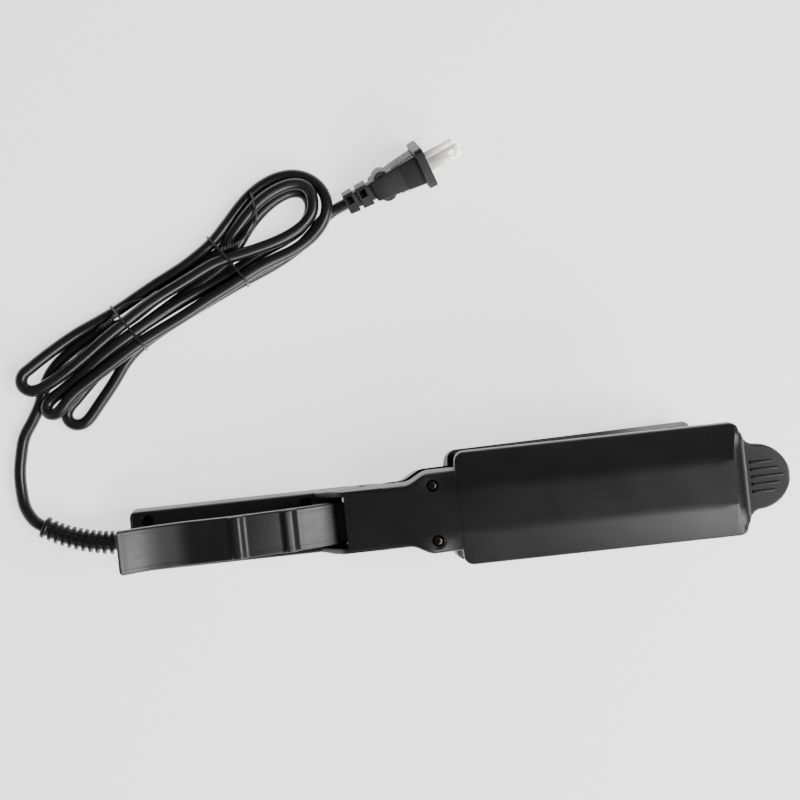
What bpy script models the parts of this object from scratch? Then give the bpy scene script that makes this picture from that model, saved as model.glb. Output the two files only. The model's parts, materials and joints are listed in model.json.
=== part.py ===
"""A hair crimper: two heated jaws that a squeeze lever closes, with its mains cord and plug.

The tool is drawn in its own frame. X runs along the tool to the jaw tips, Y across it, Z up
towards the lever, and the pivot pin lies along Y through the frame's origin. The lower jaw and
the lever are one moving body. They are drawn with the jaws closed, on an empty at the pivot that
then turns to the sprung-open rest angle. The whole tool is last laid on the table, on the heel of
its handle and the underside of its open jaw. The cord lies on the table beside it.
"""

import math

import bmesh
import bpy
from mathutils import Matrix, Vector

MM = 0.001

# Clearances
GAP = 0.3 * MM  # between pieces that touch
BOOLEAN_REACH = 1.0 * MM  # how far a cutter runs past the face that it opens

# Jaws, seen from above
WALL = 2.2 * MM
OPEN_ANGLE = math.radians(16.5)
HOOD_START = 42.3 * MM
HOOD_LENGTH = 128.0 * MM
HOOD_WIDTH = 51.4 * MM
HOOD_CORNER = 4.4 * MM
TAB_RADIUS = 14.9 * MM
TAB_REACH = 21.0 * MM  # from the end of the hood to the tip of the tab
TAB_NECK_CORNER = 6.0 * MM
ARM_WIDTH = 29.2 * MM
ARM_FLARE_START = 19.0 * MM
ARM_FLARE_END = 30.0 * MM
ARM_FLARED_WIDTH = 37.6 * MM

# Jaws, seen from the end
JAW_RISE = 13.0 * MM  # from the meeting plane to the flat of the roof
JAW_RIM = 1.5 * MM  # from the meeting plane to the rim
HOOD_EAVES = 5.4 * MM  # where the sloping sides end
ROOF_FLAT = 19.8 * MM  # width of the flat along the top
ARM_DRAFT = 1.0 * MM
HOOD_DRAFT = 0.4 * MM
END_SCOOP = 7.6 * MM  # length of the hollow slope from the roof down to the tab
TAB_TOP = 4.4 * MM
RIB_HEIGHT = 0.8 * MM
RIB_WIDTH = 1.3 * MM
RIB_PITCH = 3.3 * MM
RIB_LENGTHS = (10.2 * MM, 12.8 * MM, 15.0 * MM, 12.8 * MM, 10.2 * MM)
RIB_START = 3.2 * MM  # from the end of the hood

# Handle
HANDLE_END = -106.8 * MM
HANDLE_FRONT = -9.6 * MM
HANDLE_WIDTH = 29.0 * MM
HANDLE_TOP = -3.0 * MM
HANDLE_PARTING = -11.2 * MM
HANDLE_BOTTOM = -18.6 * MM
HANDLE_DRAFT = 1.0 * MM
HANDLE_EDGE = 1.6 * MM
COVER_EDGE = -8.0 * MM  # where the arm's roof begins, over the crossing
EAR_START = -22.0 * MM
CROSSING_WIDTH = 22.4 * MM  # between the two cheeks that carry the pin

# Pivot
PIN_RADIUS = 2.5 * MM
CHEEK_RADIUS = 9.0 * MM
DRUM_RADIUS = 8.0 * MM
DRUM_WIDTH = 17.0 * MM
SPRING_COIL = 4.6 * MM
SPRING_WIRE = 0.6 * MM
SPRING_TURNS = 3
SPRING_POCKET = 6.4 * MM
SPRING_POCKET_DEPTH = 5.0 * MM
STOP_LUG_DEPTH = 11.5 * MM
STOP_LUG_WIDTH = 14.0 * MM

# Lever, as (place along the tool, height of its top) with the jaws closed
LEVER_WIDTH = 18.6 * MM
LEVER_DEPTH = 4.4 * MM
LEVER_SKIN = 2.2 * MM
LEVER_WALL = 2.4 * MM
LEVER_LINE = (
    (-109.0 * MM, 6.6 * MM),
    (-104.0 * MM, 4.8 * MM),
    (-97.0 * MM, 3.2 * MM),
    (-88.0 * MM, 2.3 * MM),
    (-80.0 * MM, 2.3 * MM),
    (-72.0 * MM, 4.4 * MM),
    (-62.0 * MM, 7.0 * MM),
    (-47.0 * MM, 8.2 * MM),
    (-32.0 * MM, 8.0 * MM),
    (-22.0 * MM, 6.2 * MM),
    (-16.0 * MM, 4.4 * MM),
    (-11.0 * MM, 2.0 * MM),
)
RIDGE_PLACES = (-55.0 * MM, -37.0 * MM)
RIDGE_HEIGHT = 1.8 * MM
RIDGE_FOOT = 8.6 * MM
RIDGE_TOP = 2.6 * MM
TONGUE_END = 27.0 * MM
TONGUE_TOP = -4.4 * MM
TONGUE_BOTTOM = -10.4 * MM

# Crimping plates
PLATE_START = 48.0 * MM
PLATE_LENGTH = 113.0 * MM
PLATE_WIDTH = 42.0 * MM
PLATE_BACK = 5.0 * MM
WAVE_PITCH = 5.25 * MM
WAVE_HEIGHT = 2.2 * MM
MEETING_GAP = 0.6 * MM
HEATER_SIZE = (96.0 * MM, 17.0 * MM, 2.4 * MM)
CLIP_SIZE = (64.0 * MM, 14.0 * MM, 0.8 * MM)
SENSOR_SIZE = (11.0 * MM, 5.0 * MM, 3.0 * MM)
CARRIER_THICKNESS = 2.6 * MM
CARRIER_START = 10.4 * MM
LOWER_JAW_START = CHEEK_RADIUS + 3 * MM

# Fastenings
SCREW_HEAD = 2.2 * MM
SCREW_HEAD_HEIGHT = 1.5 * MM
SCREW_SHANK = 1.1 * MM
SCREW_RECESS = 2.7 * MM
BOSS_RADIUS = 4.0 * MM
ARM_SCREW = (31.5 * MM, 12.2 * MM)
ARM_SCREW_SEAT = 10.2 * MM
HANDLE_SCREWS = (-98.4 * MM, -26.0 * MM)
HANDLE_SCREW_SPREAD = 9.0 * MM
HANDLE_SCREW_SEAT = -9.2 * MM
HANDLE_POST_RADIUS = 2.8 * MM

# Cord, its strain relief and its clamp
CORD_RADIUS = 2.8 * MM
RELIEF_NECK = 4.0 * MM
RELIEF_FLANGE = 5.0 * MM
RELIEF_INSIDE = 4.6 * MM  # from the outside of the heel to the inner face of the flange
RELIEF_FINS = 13
RELIEF_CORE = 3.6 * MM
RELIEF_FIN_RADII = (5.6 * MM, 4.9 * MM)  # first and last
RELIEF_FIN_SHARE = 0.46
RELIEF_COLLAR = 2.2 * MM
RELIEF_ROUTE = (
    (-10.0 * MM, 0.8 * MM, 6.6 * MM),
    (-20.0 * MM, 3.2 * MM, 6.2 * MM),
    (-29.5 * MM, 7.0 * MM, 6.0 * MM),
    (-37.0 * MM, 11.4 * MM, 5.8 * MM),
)
STUB_END = -88.0 * MM
CLAMP_PLACE = -92.2 * MM
CLAMP_SIZE = (5.0 * MM, 14.0 * MM)
CLAMP_SPREAD = 5.2 * MM
CLAMP_SCREW_HEAD = 1.6 * MM
CLAMP_SCREW_HEIGHT = 1.0 * MM
CLAMP_SCREW_SHANK = 0.75 * MM
CLAMP_SCREW_LENGTH = 6.0 * MM

# Where the cord lies, in plan from a point just beyond the heel and in height from the table
CORD_SETBACK = 3.1 * MM
LEAD_ROUTE = (
    (-42.2 * MM, 17.4 * MM, 4.6 * MM),
    (-44.6 * MM, 25.0 * MM, 3.3 * MM),
    (-45.2 * MM, 36.0 * MM, CORD_RADIUS),
    (-43.8 * MM, 45.4 * MM, CORD_RADIUS),
    (-40.8 * MM, 54.4 * MM, 3.4 * MM),
    (-37.7 * MM, 60.4 * MM, 4.4 * MM),
)
HANK_ENDS = ((-24.0 * MM, 73.0 * MM), (92.5 * MM, 149.0 * MM))
HANK_HALF = (12.6 * MM, 17.0 * MM)  # half width between the ties, and at the loops
HANK_LEVELS = (1.6 * MM, 13.0 * MM)
TIE_PLACES = (0.3, 0.7)
TIE_WIRE = 0.6 * MM
TAIL_START = (110.8 * MM, 144.6 * MM, 4.2 * MM)
PLUG_START = (117.2 * MM, 147.3 * MM, 6.2 * MM)

# Plug, along its own axis from the cord: (place, half width, half height over the blades)
PLUG_YAW = math.radians(21.2)
PLUG_PITCH = math.radians(11.0)
PLUG_ROLL = math.radians(21.0)
PLUG_LENGTH = 43.0 * MM
PLUG_BODY = (
    (0.0, 4.0 * MM, 4.2 * MM),
    (5.2 * MM, 4.4 * MM, 4.8 * MM),
    (5.2 * MM, 3.4 * MM, 3.4 * MM),
    (6.9 * MM, 3.4 * MM, 3.4 * MM),
    (6.9 * MM, 4.6 * MM, 5.0 * MM),
    (12.5 * MM, 4.8 * MM, 5.4 * MM),
    (12.5 * MM, 3.6 * MM, 3.8 * MM),
    (14.4 * MM, 3.6 * MM, 3.8 * MM),
    (14.4 * MM, 5.0 * MM, 6.0 * MM),
    (17.8 * MM, 5.4 * MM, 8.0 * MM),
    (21.5 * MM, 5.8 * MM, 7.8 * MM),
    (24.3 * MM, 6.0 * MM, 7.0 * MM),
    (40.2 * MM, 7.4 * MM, 9.6 * MM),
    (40.2 * MM, 9.2 * MM, 12.2 * MM),
    (43.0 * MM, 8.8 * MM, 11.8 * MM),
)
BLADE_SIZE = (16.6 * MM, 6.35 * MM, 1.5 * MM)
BLADE_SPREAD = 6.35 * MM
BLADE_HOLE = (12.2 * MM, 1.6 * MM)  # from the plug's face to its centre, and its radius


# ---------------------------------------------------------------- helpers


def material(name, colour, roughness, metallic=0.0):
    """A Principled material of one colour."""
    made = bpy.data.materials.new(name)
    made.use_nodes = True
    shader = made.node_tree.nodes["Principled BSDF"]
    shader.inputs["Base Color"].default_value = (*colour, 1.0)
    shader.inputs["Roughness"].default_value = roughness
    shader.inputs["Metallic"].default_value = metallic
    return made


def place(name, mesh, parent, finish=None):
    """A new object with this mesh, on its parent."""
    made = bpy.data.objects.new(name, mesh)
    bpy.context.scene.collection.objects.link(made)
    made.parent = parent
    if finish is not None:
        mesh.materials.append(finish)
    return made


def helper(obj):
    """Marks an object that only shapes others."""
    obj.hide_render = True
    obj.display_type = "WIRE"
    return obj


def empty(name, parent=None):
    """An empty that carries other objects."""
    made = bpy.data.objects.new(name, None)
    bpy.context.scene.collection.objects.link(made)
    made.parent = parent
    return made


def mesh_from(name, build):
    """A mesh filled by build(bm), with its faces pointing out."""
    bm = bmesh.new()
    build(bm)
    bmesh.ops.recalc_face_normals(bm, faces=bm.faces)
    mesh = bpy.data.meshes.new(name)
    bm.to_mesh(mesh)
    bm.free()
    return mesh


def loft(name, rows):
    """A closed mesh through rows of points, each a loop of the same count, with flat ends."""

    def build(bm):
        loops = [[bm.verts.new(p) for p in row] for row in rows]
        count = len(rows[0])
        for a, b in zip(loops, loops[1:]):
            for i in range(count):
                j = (i + 1) % count
                bm.faces.new((a[i], a[j], b[j], b[i]))
        bm.faces.new(loops[0])
        bm.faces.new(loops[-1])

    return mesh_from(name, build)


def side_prism(name, outline, y_low, y_high):
    """A mesh of an outline of (x, z) points, carried across from y_low to y_high."""
    return loft(name, [[(x, y, z) for x, z in outline] for y in (y_low, y_high)])


def box(name, low, high):
    """A mesh of a box between two corners."""
    (x0, y0, z0), (x1, y1, z1) = low, high
    return side_prism(name, [(x0, z0), (x1, z0), (x1, z1), (x0, z1)], y0, y1)


def ring_of(centre, along, radius, sides, start=0.0):
    """Points of a circle about a centre, square to the direction along."""
    side = along.orthogonal().normalized()
    up = along.normalized().cross(side)
    angles = [start + 2 * math.pi * i / sides for i in range(sides)]
    return [centre + radius * (side * math.cos(a) + up * math.sin(a)) for a in angles]


def turned(name, base, axis, profile, sides=20):
    """A mesh turned about a line from base along axis. The profile is (distance along, radius)."""
    base, axis = Vector(base), Vector(axis).normalized()
    return loft(name, [ring_of(base + axis * a, axis, r, sides) for a, r in profile])


def combine(obj, operation, meshes):
    """Joins or cuts an object by meshes, each with a Boolean on a helper object."""
    for i, mesh in enumerate(meshes):
        other = helper(place(f"{obj.name}_{operation.lower()}_{i + 1}", mesh, obj.parent))
        modifier = obj.modifiers.new(f"{operation.lower()} {i + 1}", "BOOLEAN")
        modifier.operation = operation
        modifier.solver = "EXACT"
        modifier.object = other
    return obj


def arc(centre, radius, start, end, steps):
    """Points of an arc in a plane, angles in degrees, both ends included."""
    angles = [math.radians(start + (end - start) * i / steps) for i in range(steps + 1)]
    return [
        (centre[0] + radius * math.cos(a), centre[1] + radius * math.sin(a)) for a in angles
    ]


def smooth_step(t):
    """0 to 1 with flat ends."""
    t = min(1.0, max(0.0, t))
    return t * t * (3 - 2 * t)


def flipped(points):
    """Points of a loop turned upside down about the meeting plane."""
    return [(x, y, -z) for x, y, z in points]


# ---------------------------------------------------------------- jaw shells

HOOD_END = HOOD_START + HOOD_LENGTH
TAB_CENTRE = HOOD_END + TAB_REACH - TAB_RADIUS
SCOOP_START = HOOD_END - END_SCOOP / 2 - 2 * MM


def arm_stations(start):
    """(place, half width) along the arm, to the foot of the hood."""
    narrow, flared = ARM_WIDTH / 2, ARM_FLARED_WIDTH / 2
    stations = [(start, narrow)]
    for i in range(5):
        t = i / 4
        x = ARM_FLARE_START + (ARM_FLARE_END - ARM_FLARE_START) * t
        stations.append((x, narrow + (flared - narrow) * smooth_step(t)))
    return stations + [(HOOD_START - 0.4 * MM, flared)]


def hood_stations():
    """(place, half width) along the hood and its tab."""
    half = HOOD_WIDTH / 2
    corner = half - HOOD_CORNER
    neck = TAB_CENTRE + 1.0 * MM
    stations = arc((HOOD_START + HOOD_CORNER, corner), HOOD_CORNER, 180, 90, 3)
    stations += [(SCOOP_START - 2 * MM, half), (SCOOP_START, half)]
    stations += arc((HOOD_END - HOOD_CORNER, corner), HOOD_CORNER, 90, 8, 3)
    fillet = (neck, TAB_RADIUS + TAB_NECK_CORNER)
    stations += arc(fillet, TAB_NECK_CORNER, 186, 262, 3)
    stations += [
        (x, w) for x, w in arc((TAB_CENTRE, 0), TAB_RADIUS, 84, 10, 7) if x > neck + 1 * MM
    ]
    return stations


def draft_at(x):
    """How far the side leans in between the rim and the eaves."""
    return ARM_DRAFT if x < HOOD_START else HOOD_DRAFT


def roof_height(x, y):
    """Height of a jaw's outer face over the meeting plane."""
    crown = smooth_step((x - 22 * MM) / (HOOD_START - 22 * MM))
    slope = (JAW_RISE - HOOD_EAVES) / (HOOD_WIDTH / 2 - HOOD_DRAFT - ROOF_FLAT / 2)
    height = JAW_RISE - crown * slope * max(0.0, abs(y) - ROOF_FLAT / 2)
    left = min(1.0, max(0.0, 1 - (x - SCOOP_START) / END_SCOOP))
    end = TAB_TOP + (JAW_RISE - TAB_TOP) * left**1.8
    return min(height, end)


def jaw_section(x, half, wall=0.0, bottom=JAW_RIM):
    """A closed loop round the jaw at x, drawn in by wall at the sides and the roof."""
    foot = half - wall
    top = foot - draft_at(x)
    crease = min(ROOF_FLAT / 2, 0.62 * top)
    across = [top, (top + crease) / 2, crease, 0.0, -crease, -(top + crease) / 2, -top]
    loop = [(x, foot, bottom)]
    loop += [(x, y, roof_height(x, y) - wall) for y in across]
    return loop + [(x, -foot, bottom)]


def jaw_solid(name, start, upside_down=False):
    """The outside of a jaw from start to the tip of its tab."""
    rows = [jaw_section(x, half) for x, half in arm_stations(start) + hood_stations()]
    return loft(name, [flipped(row) for row in rows] if upside_down else rows)


def jaw_hollow(name, start, upside_down=False):
    """The inside of a jaw. It runs out of the rim and out of the arm's open end."""
    inside = [(start - WALL, ARM_WIDTH / 2)] + arm_stations(start)[1:-1]
    inside += [
        (HOOD_START + WALL, ARM_FLARED_WIDTH / 2),
        (HOOD_START + WALL + 0.4 * MM, HOOD_WIDTH / 2 - HOOD_CORNER / 2),
        (HOOD_START + WALL + HOOD_CORNER / 2, HOOD_WIDTH / 2),
        (SCOOP_START - WALL, HOOD_WIDTH / 2),
    ]
    below = JAW_RIM - BOOLEAN_REACH
    rows = [jaw_section(x, half, WALL, below) for x, half in inside]
    return loft(name, [flipped(row) for row in rows] if upside_down else rows)


def tab_ribs(name, upside_down=False):
    """The finger ribs on the tab, one mesh each."""
    made = []
    middle = (len(RIB_LENGTHS) - 1) / 2
    foot, top = TAB_TOP - 0.6 * MM, TAB_TOP + RIB_HEIGHT
    for i, length in enumerate(RIB_LENGTHS):
        y = (i - middle) * RIB_PITCH
        x0 = HOOD_END + RIB_START
        x1 = x0 + length
        lean = RIB_HEIGHT / 2
        outline = [(x0, foot), (x1, foot), (x1, top - lean), (x1 - lean, top), (x0, top)]
        if upside_down:
            outline = [(x, -z) for x, z in outline]
        made.append(side_prism(f"{name}_{i + 1}", outline, y - RIB_WIDTH / 2, y + RIB_WIDTH / 2))
    return made


def boss(name, x, y, low, high, radius):
    """An upright post."""
    return turned(name, (x, y, low), (0, 0, 1), [(0, radius), (high - low, radius)], 16)


def arm_screw_places():
    """The two screws across the flared end of an arm."""
    return [(ARM_SCREW[0], side * ARM_SCREW[1]) for side in (1, -1)]


def screw_openings(x, y, seat, face, far, up=1):
    """A recess for a screw head from the face to its seat, and a hole on to far."""
    reach = BOOLEAN_REACH * up
    lean = boss("recess", x, y, *sorted((seat, face + reach)), SCREW_RECESS)
    hole = boss("hole", x, y, *sorted((far - reach, seat + reach)), SCREW_SHANK + GAP)
    return [lean, hole]


# ---------------------------------------------------------------- handle and upper jaw


def handle_half(name, start, end, face, wall=0.0):
    """Half of the handle's outside, or its inside where wall is given, between parting and face."""
    up = 1 if face > HANDLE_PARTING else -1
    foot = HANDLE_WIDTH / 2 - wall
    top = foot - HANDLE_DRAFT
    level = face - up * wall
    parting = HANDLE_PARTING - up * (BOOLEAN_REACH if wall else 0.0)
    loop = [
        (foot, parting),
        (top, level - up * HANDLE_EDGE),
        (top - HANDLE_EDGE, level),
        (-top + HANDLE_EDGE, level),
        (-top, level - up * HANDLE_EDGE),
        (-foot, parting),
    ]
    ends = [(start + wall, 1.0), (end - wall, 1.0)]
    if not wall:
        ends.insert(0, (start, 0.93))
        ends[1] = (start + 2.4 * MM, 1.0)
    middle = (HANDLE_PARTING + face) / 2
    rows = [
        [(x, y * s, z if s == 1 else middle + (z - middle) * (2 * s - 1)) for y, z in loop]
        for x, s in ends
    ]
    for row in rows[: 0 if wall else 1]:
        row[0] = (row[0][0], row[0][1], parting)
        row[-1] = (row[-1][0], row[-1][1], parting)
    return loft(name, rows)


def cheek(name, side):
    """The wall beside the crossing that carries one end of the pin."""
    lift = [
        (EAR_START, HANDLE_PARTING),
        (EAR_START, HANDLE_TOP - 1 * MM),
        (EAR_START + 2 * MM, HANDLE_TOP + 1.6 * MM),
        (EAR_START + 7 * MM, 5.4 * MM),
        (COVER_EDGE - 2 * MM, JAW_RISE - 1.8 * MM),
        (COVER_EDGE + 2 * MM, JAW_RISE - 0.8 * MM),
        (CARRIER_START - GAP * 3, JAW_RISE - 0.8 * MM),
        (CARRIER_START - GAP * 3, JAW_RIM + 0.4 * MM),
    ]
    outline = lift + arc((0, 0), CHEEK_RADIUS, 8, -120, 8) + [(-8 * MM, HANDLE_PARTING)]
    inner, outer = CROSSING_WIDTH / 2, HANDLE_WIDTH / 2 - HANDLE_DRAFT - 0.2 * MM
    return side_prism(name, outline, *sorted((side * inner, side * outer)))


def pin_hole(name, reach):
    """A hole for the pivot pin with a running clearance."""
    radius = PIN_RADIUS + GAP
    return turned(name, (0, -reach, 0), (0, 1, 0), [(0, radius), (2 * reach, radius)], 20)


def cord_entry(name):
    """The hole in the heel of the handle for the neck of the cord's strain relief."""
    radius = RELIEF_NECK + GAP
    base = (HANDLE_END - BOOLEAN_REACH, 0, HANDLE_PARTING)
    return turned(name, base, (1, 0, 0), [(0, radius), (WALL + 2 * BOOLEAN_REACH, radius)], 20)


def lead_places():
    """Where the two leads pass beside the drum: (y, height in the handle, height in the arm)."""
    y = -(DRUM_WIDTH + CROSSING_WIDTH) / 4
    return [(y, -6.6 * MM, 7.4 * MM), (y, -9.6 * MM, 5.3 * MM)]


def build_upper_shell(parent, finish):
    """Hood, arm, cheeks and the top half of the handle, moulded in one."""
    shell = place("upper_shell", jaw_solid("upper_shell", COVER_EDGE), parent, finish)
    joined = [handle_half("handle_top", HANDLE_END, HANDLE_FRONT, HANDLE_TOP)]
    joined += [cheek(f"cheek_{side}", side) for side in (1, -1)]
    joined += tab_ribs("rib")
    combine(shell, "UNION", joined)
    hollows = [
        jaw_hollow("jaw_hollow", COVER_EDGE),
        handle_half("handle_hollow", HANDLE_END, HANDLE_FRONT, HANDLE_TOP, WALL),
        pin_hole("pin_hole", HANDLE_WIDTH),
        cord_entry("cord_entry"),
    ]
    for i, (y, low, _) in enumerate(lead_places()):
        base = (HANDLE_FRONT - WALL - BOOLEAN_REACH, y, low)
        line = [(0, 1.3 * MM), (WALL + 2 * BOOLEAN_REACH, 1.3 * MM)]
        hollows.append(turned(f"lead_hole_{i + 1}", base, (1, 0, 0), line, 12))
    combine(shell, "DIFFERENCE", hollows)
    posts = [
        boss("arm_boss", x, y, ARM_SCREW_SEAT - 2.2 * MM, JAW_RISE - 1.3 * MM, BOSS_RADIUS)
        for x, y in arm_screw_places()
    ]
    floor = HANDLE_PARTING + GAP
    posts += [
        boss("handle_boss", x, y, floor, HANDLE_TOP - WALL / 2, BOSS_RADIUS - 0.3 * MM)
        for x, y in handle_screw_places()
    ]
    combine_later(shell, "UNION", posts, "posts")
    openings = []
    for x, y in arm_screw_places():
        far = ARM_SCREW_SEAT - 2.2 * MM
        openings += screw_openings(x, y, ARM_SCREW_SEAT, JAW_RISE, far)
    for x, y in handle_screw_places():
        openings += screw_openings(x, y, HANDLE_SCREW_SEAT, HANDLE_TOP, floor)
    combine_later(shell, "DIFFERENCE", openings, "screws")
    return shell


def combine_later(obj, operation, meshes, tag):
    """As combine, for a second set on the same object."""
    for i, mesh in enumerate(meshes):
        other = helper(place(f"{obj.name}_{tag}_{i + 1}", mesh, obj.parent))
        modifier = obj.modifiers.new(f"{tag} {i + 1}", "BOOLEAN")
        modifier.operation = operation
        modifier.solver = "EXACT"
        modifier.object = other


def handle_screw_places():
    """The four screws that close the handle."""
    return [(x, side * HANDLE_SCREW_SPREAD) for x in HANDLE_SCREWS for side in (1, -1)]


def build_handle_lower_shell(parent, finish):
    """The bottom half of the handle, with the posts that its screws bite in."""
    mesh = handle_half("handle_lower_shell", HANDLE_END, HANDLE_FRONT, HANDLE_BOTTOM)
    mesh.transform(Matrix.Translation((0, 0, -GAP)))
    shell = place("handle_lower_shell", mesh, parent, finish)
    hollow = handle_half("lower_hollow", HANDLE_END, HANDLE_FRONT, HANDLE_BOTTOM, WALL)
    combine(shell, "DIFFERENCE", [hollow, cord_entry("lower_entry")])
    posts = [
        boss("post", x, y, HANDLE_BOTTOM + WALL / 2, HANDLE_PARTING - GAP, HANDLE_POST_RADIUS)
        for x, y in handle_screw_places()
    ]
    clamp_posts = [(CLAMP_PLACE, side * CLAMP_SPREAD) for side in (1, -1)]
    posts += [
        boss("clamp_post", x, y, HANDLE_BOTTOM + WALL / 2, clamp_post_top(), 1.9 * MM)
        for x, y in clamp_posts
    ]
    combine_later(shell, "UNION", posts, "posts")
    holes = [
        boss("bite", x, y, screw_tip() - GAP, HANDLE_PARTING, SCREW_SHANK + GAP)
        for x, y in handle_screw_places()
    ]
    bottom = clamp_post_top() + clamp_thickness() - CLAMP_SCREW_LENGTH - GAP
    holes += [
        boss("clamp_bite", x, y, bottom, clamp_post_top() + GAP, CLAMP_SCREW_SHANK + GAP)
        for x, y in clamp_posts
    ]
    combine_later(shell, "DIFFERENCE", holes, "bites")
    return shell


def screw_tip():
    """How deep a handle screw reaches."""
    return HANDLE_BOTTOM + WALL + 1.2 * MM


def screw(name, x, y, seat, tip, parent, finish, up=1):
    """A pan-head screw with its shank, head on the side that up points to."""
    length = abs(seat - tip)
    head = SCREW_HEAD_HEIGHT
    profile = [
        (0, SCREW_HEAD * 0.72),
        (head * 0.4, SCREW_HEAD),
        (head - GAP / 2, SCREW_HEAD),
        (head - GAP / 2 + 0.02 * MM, SCREW_SHANK),
        (head + length - 0.6 * MM, SCREW_SHANK),
        (head + length, SCREW_SHANK * 0.35),
    ]
    top = (x, y, seat + up * head)
    return place(name, turned(name, top, (0, 0, -up), profile, 14), parent, finish)


# ---------------------------------------------------------------- plates, heaters and carriers


def wave(y):
    """Height of the corrugation at y: a rounded zigzag about the meeting plane."""
    t = (y / WAVE_PITCH) % 1.0
    zigzag = 1 - 4 * abs(t - 0.5)
    return WAVE_HEIGHT / 2 * max(-0.86, min(0.86, zigzag))


def wave_places():
    """Where the corrugation turns, from one edge of the plate to the other."""
    half = PLATE_WIDTH / 2
    turns = {-half, half}
    count = int(half / WAVE_PITCH) + 1
    for i in range(-count, count + 1):
        for t in (0.035, 0.465, 0.535, 0.965):
            y = (i + t) * WAVE_PITCH
            if abs(y) < half:
                turns.add(y)
    return sorted(turns)


def plate_mesh(name, upside_down=False):
    """A crimping plate, corrugated along the tool. The two plates mesh when the jaws close."""
    sign = -1 if upside_down else 1
    face = [(y, wave(y) + sign * MEETING_GAP / 2) for y in wave_places()]
    half = PLATE_WIDTH / 2
    loop = face + [(half, sign * PLATE_BACK), (-half, sign * PLATE_BACK)]
    ends = (PLATE_START, PLATE_START + PLATE_LENGTH)
    return loft(name, [[(x, y, z) for y, z in loop] for x in ends])


def slab(name, size, centre_x, level, parent, finish, up=1, y=0.0):
    """A flat block that stands on a level, above it or hanging below it."""
    length, width, height = size
    z = sorted((level, level + up * height))
    low = (centre_x - length / 2, y - width / 2, z[0])
    high = (centre_x + length / 2, y + width / 2, z[1])
    return place(name, box(name, low, high), parent, finish)


def carrier_outline(start, inset):
    """(place, half width) of the carrier that closes the underside of a jaw."""
    stations = [(start, ARM_WIDTH / 2 - inset)]
    stations += [(x, w - inset) for x, w in arm_stations(start)[1:-1]]
    stations += [
        (HOOD_START + inset, ARM_FLARED_WIDTH / 2 - inset),
        (HOOD_START + inset + 0.4 * MM, HOOD_WIDTH / 2 - HOOD_CORNER / 2 - inset),
        (HOOD_START + inset + HOOD_CORNER / 2, HOOD_WIDTH / 2 - inset),
        (SCOOP_START - inset, HOOD_WIDTH / 2 - inset),
    ]
    return stations


def build_carrier(name, start, parent, finish, up=1):
    """The heat-proof frame that closes a jaw's underside and holds its plate."""
    low, high = up * JAW_RIM, up * (JAW_RIM + CARRIER_THICKNESS)
    inset = WALL + HOOD_DRAFT + GAP
    rows = [
        [(x, w, low), (x, w, high), (x, -w, high), (x, -w, low)]
        for x, w in carrier_outline(start, inset)
    ]
    carrier = place(name, loft(name, rows), parent, finish)
    window = PLATE_WIDTH / 2 + GAP
    hole = box(
        "window",
        (PLATE_START - GAP, -window, min(low, high) - BOOLEAN_REACH),
        (PLATE_START + PLATE_LENGTH + GAP, window, max(low, high) + BOOLEAN_REACH),
    )
    combine(carrier, "DIFFERENCE", [hole])
    near, far = up * (JAW_RIM + CARRIER_THICKNESS / 2), up * (ARM_SCREW_SEAT - 2.2 * MM - GAP)
    posts = [
        boss("post", x, y, *sorted((near, far)), HANDLE_POST_RADIUS) for x, y in arm_screw_places()
    ]
    combine_later(carrier, "UNION", posts, "posts")
    bites = [
        boss("bite", x, y, *sorted((near + up * 0.4 * MM, far + up * BOOLEAN_REACH)), SCREW_SHANK + GAP)
        for x, y in arm_screw_places()
    ]
    combine_later(carrier, "DIFFERENCE", bites, "bites")
    return carrier


def build_heating(prefix, parent, finishes, up=1):
    """Plate, heater, spring clip and sensor of one jaw."""
    plate = place(f"{prefix}_crimp_plate", plate_mesh("plate", up < 0), parent, finishes["plate"])
    middle = PLATE_START + PLATE_LENGTH / 2
    back = PLATE_BACK + GAP
    slab(f"{prefix}_heater", HEATER_SIZE, middle, up * back, parent, finishes["heater"], up)
    over = back + HEATER_SIZE[2] + GAP
    slab(f"{prefix}_heater_clip", CLIP_SIZE, middle, up * over, parent, finishes["steel"], up)
    beside = HEATER_SIZE[1] / 2 + SENSOR_SIZE[1] / 2 + 1 * MM
    sensor = "thermostat" if up > 0 else "thermal_fuse"
    level = up * back
    slab(f"{prefix}_{sensor}", SENSOR_SIZE, middle, level, parent, finishes["heater"], up, beside)
    return plate


# ---------------------------------------------------------------- lever and lower jaw


def lever_top():
    """Points along the top of the lever, with its two finger ridges."""
    points = []
    for (x0, z0), (x1, z1) in zip(LEVER_LINE, LEVER_LINE[1:]):
        points.append((x0, z0))
        for ridge in RIDGE_PLACES:
            if x0 < ridge < x1:
                for dx, dz in (
                    (-RIDGE_FOOT / 2, 0),
                    (-RIDGE_TOP / 2, RIDGE_HEIGHT),
                    (RIDGE_TOP / 2, RIDGE_HEIGHT),
                    (RIDGE_FOOT / 2, 0),
                ):
                    t = (ridge + dx - x0) / (x1 - x0)
                    points.append((ridge + dx, z0 + (z1 - z0) * t + dz))
    return points + [LEVER_LINE[-1]]


def lever_bottom(depth):
    """The lever's line without its ridges, lowered by depth."""
    return [(x, z - depth) for x, z in LEVER_LINE]


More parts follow.
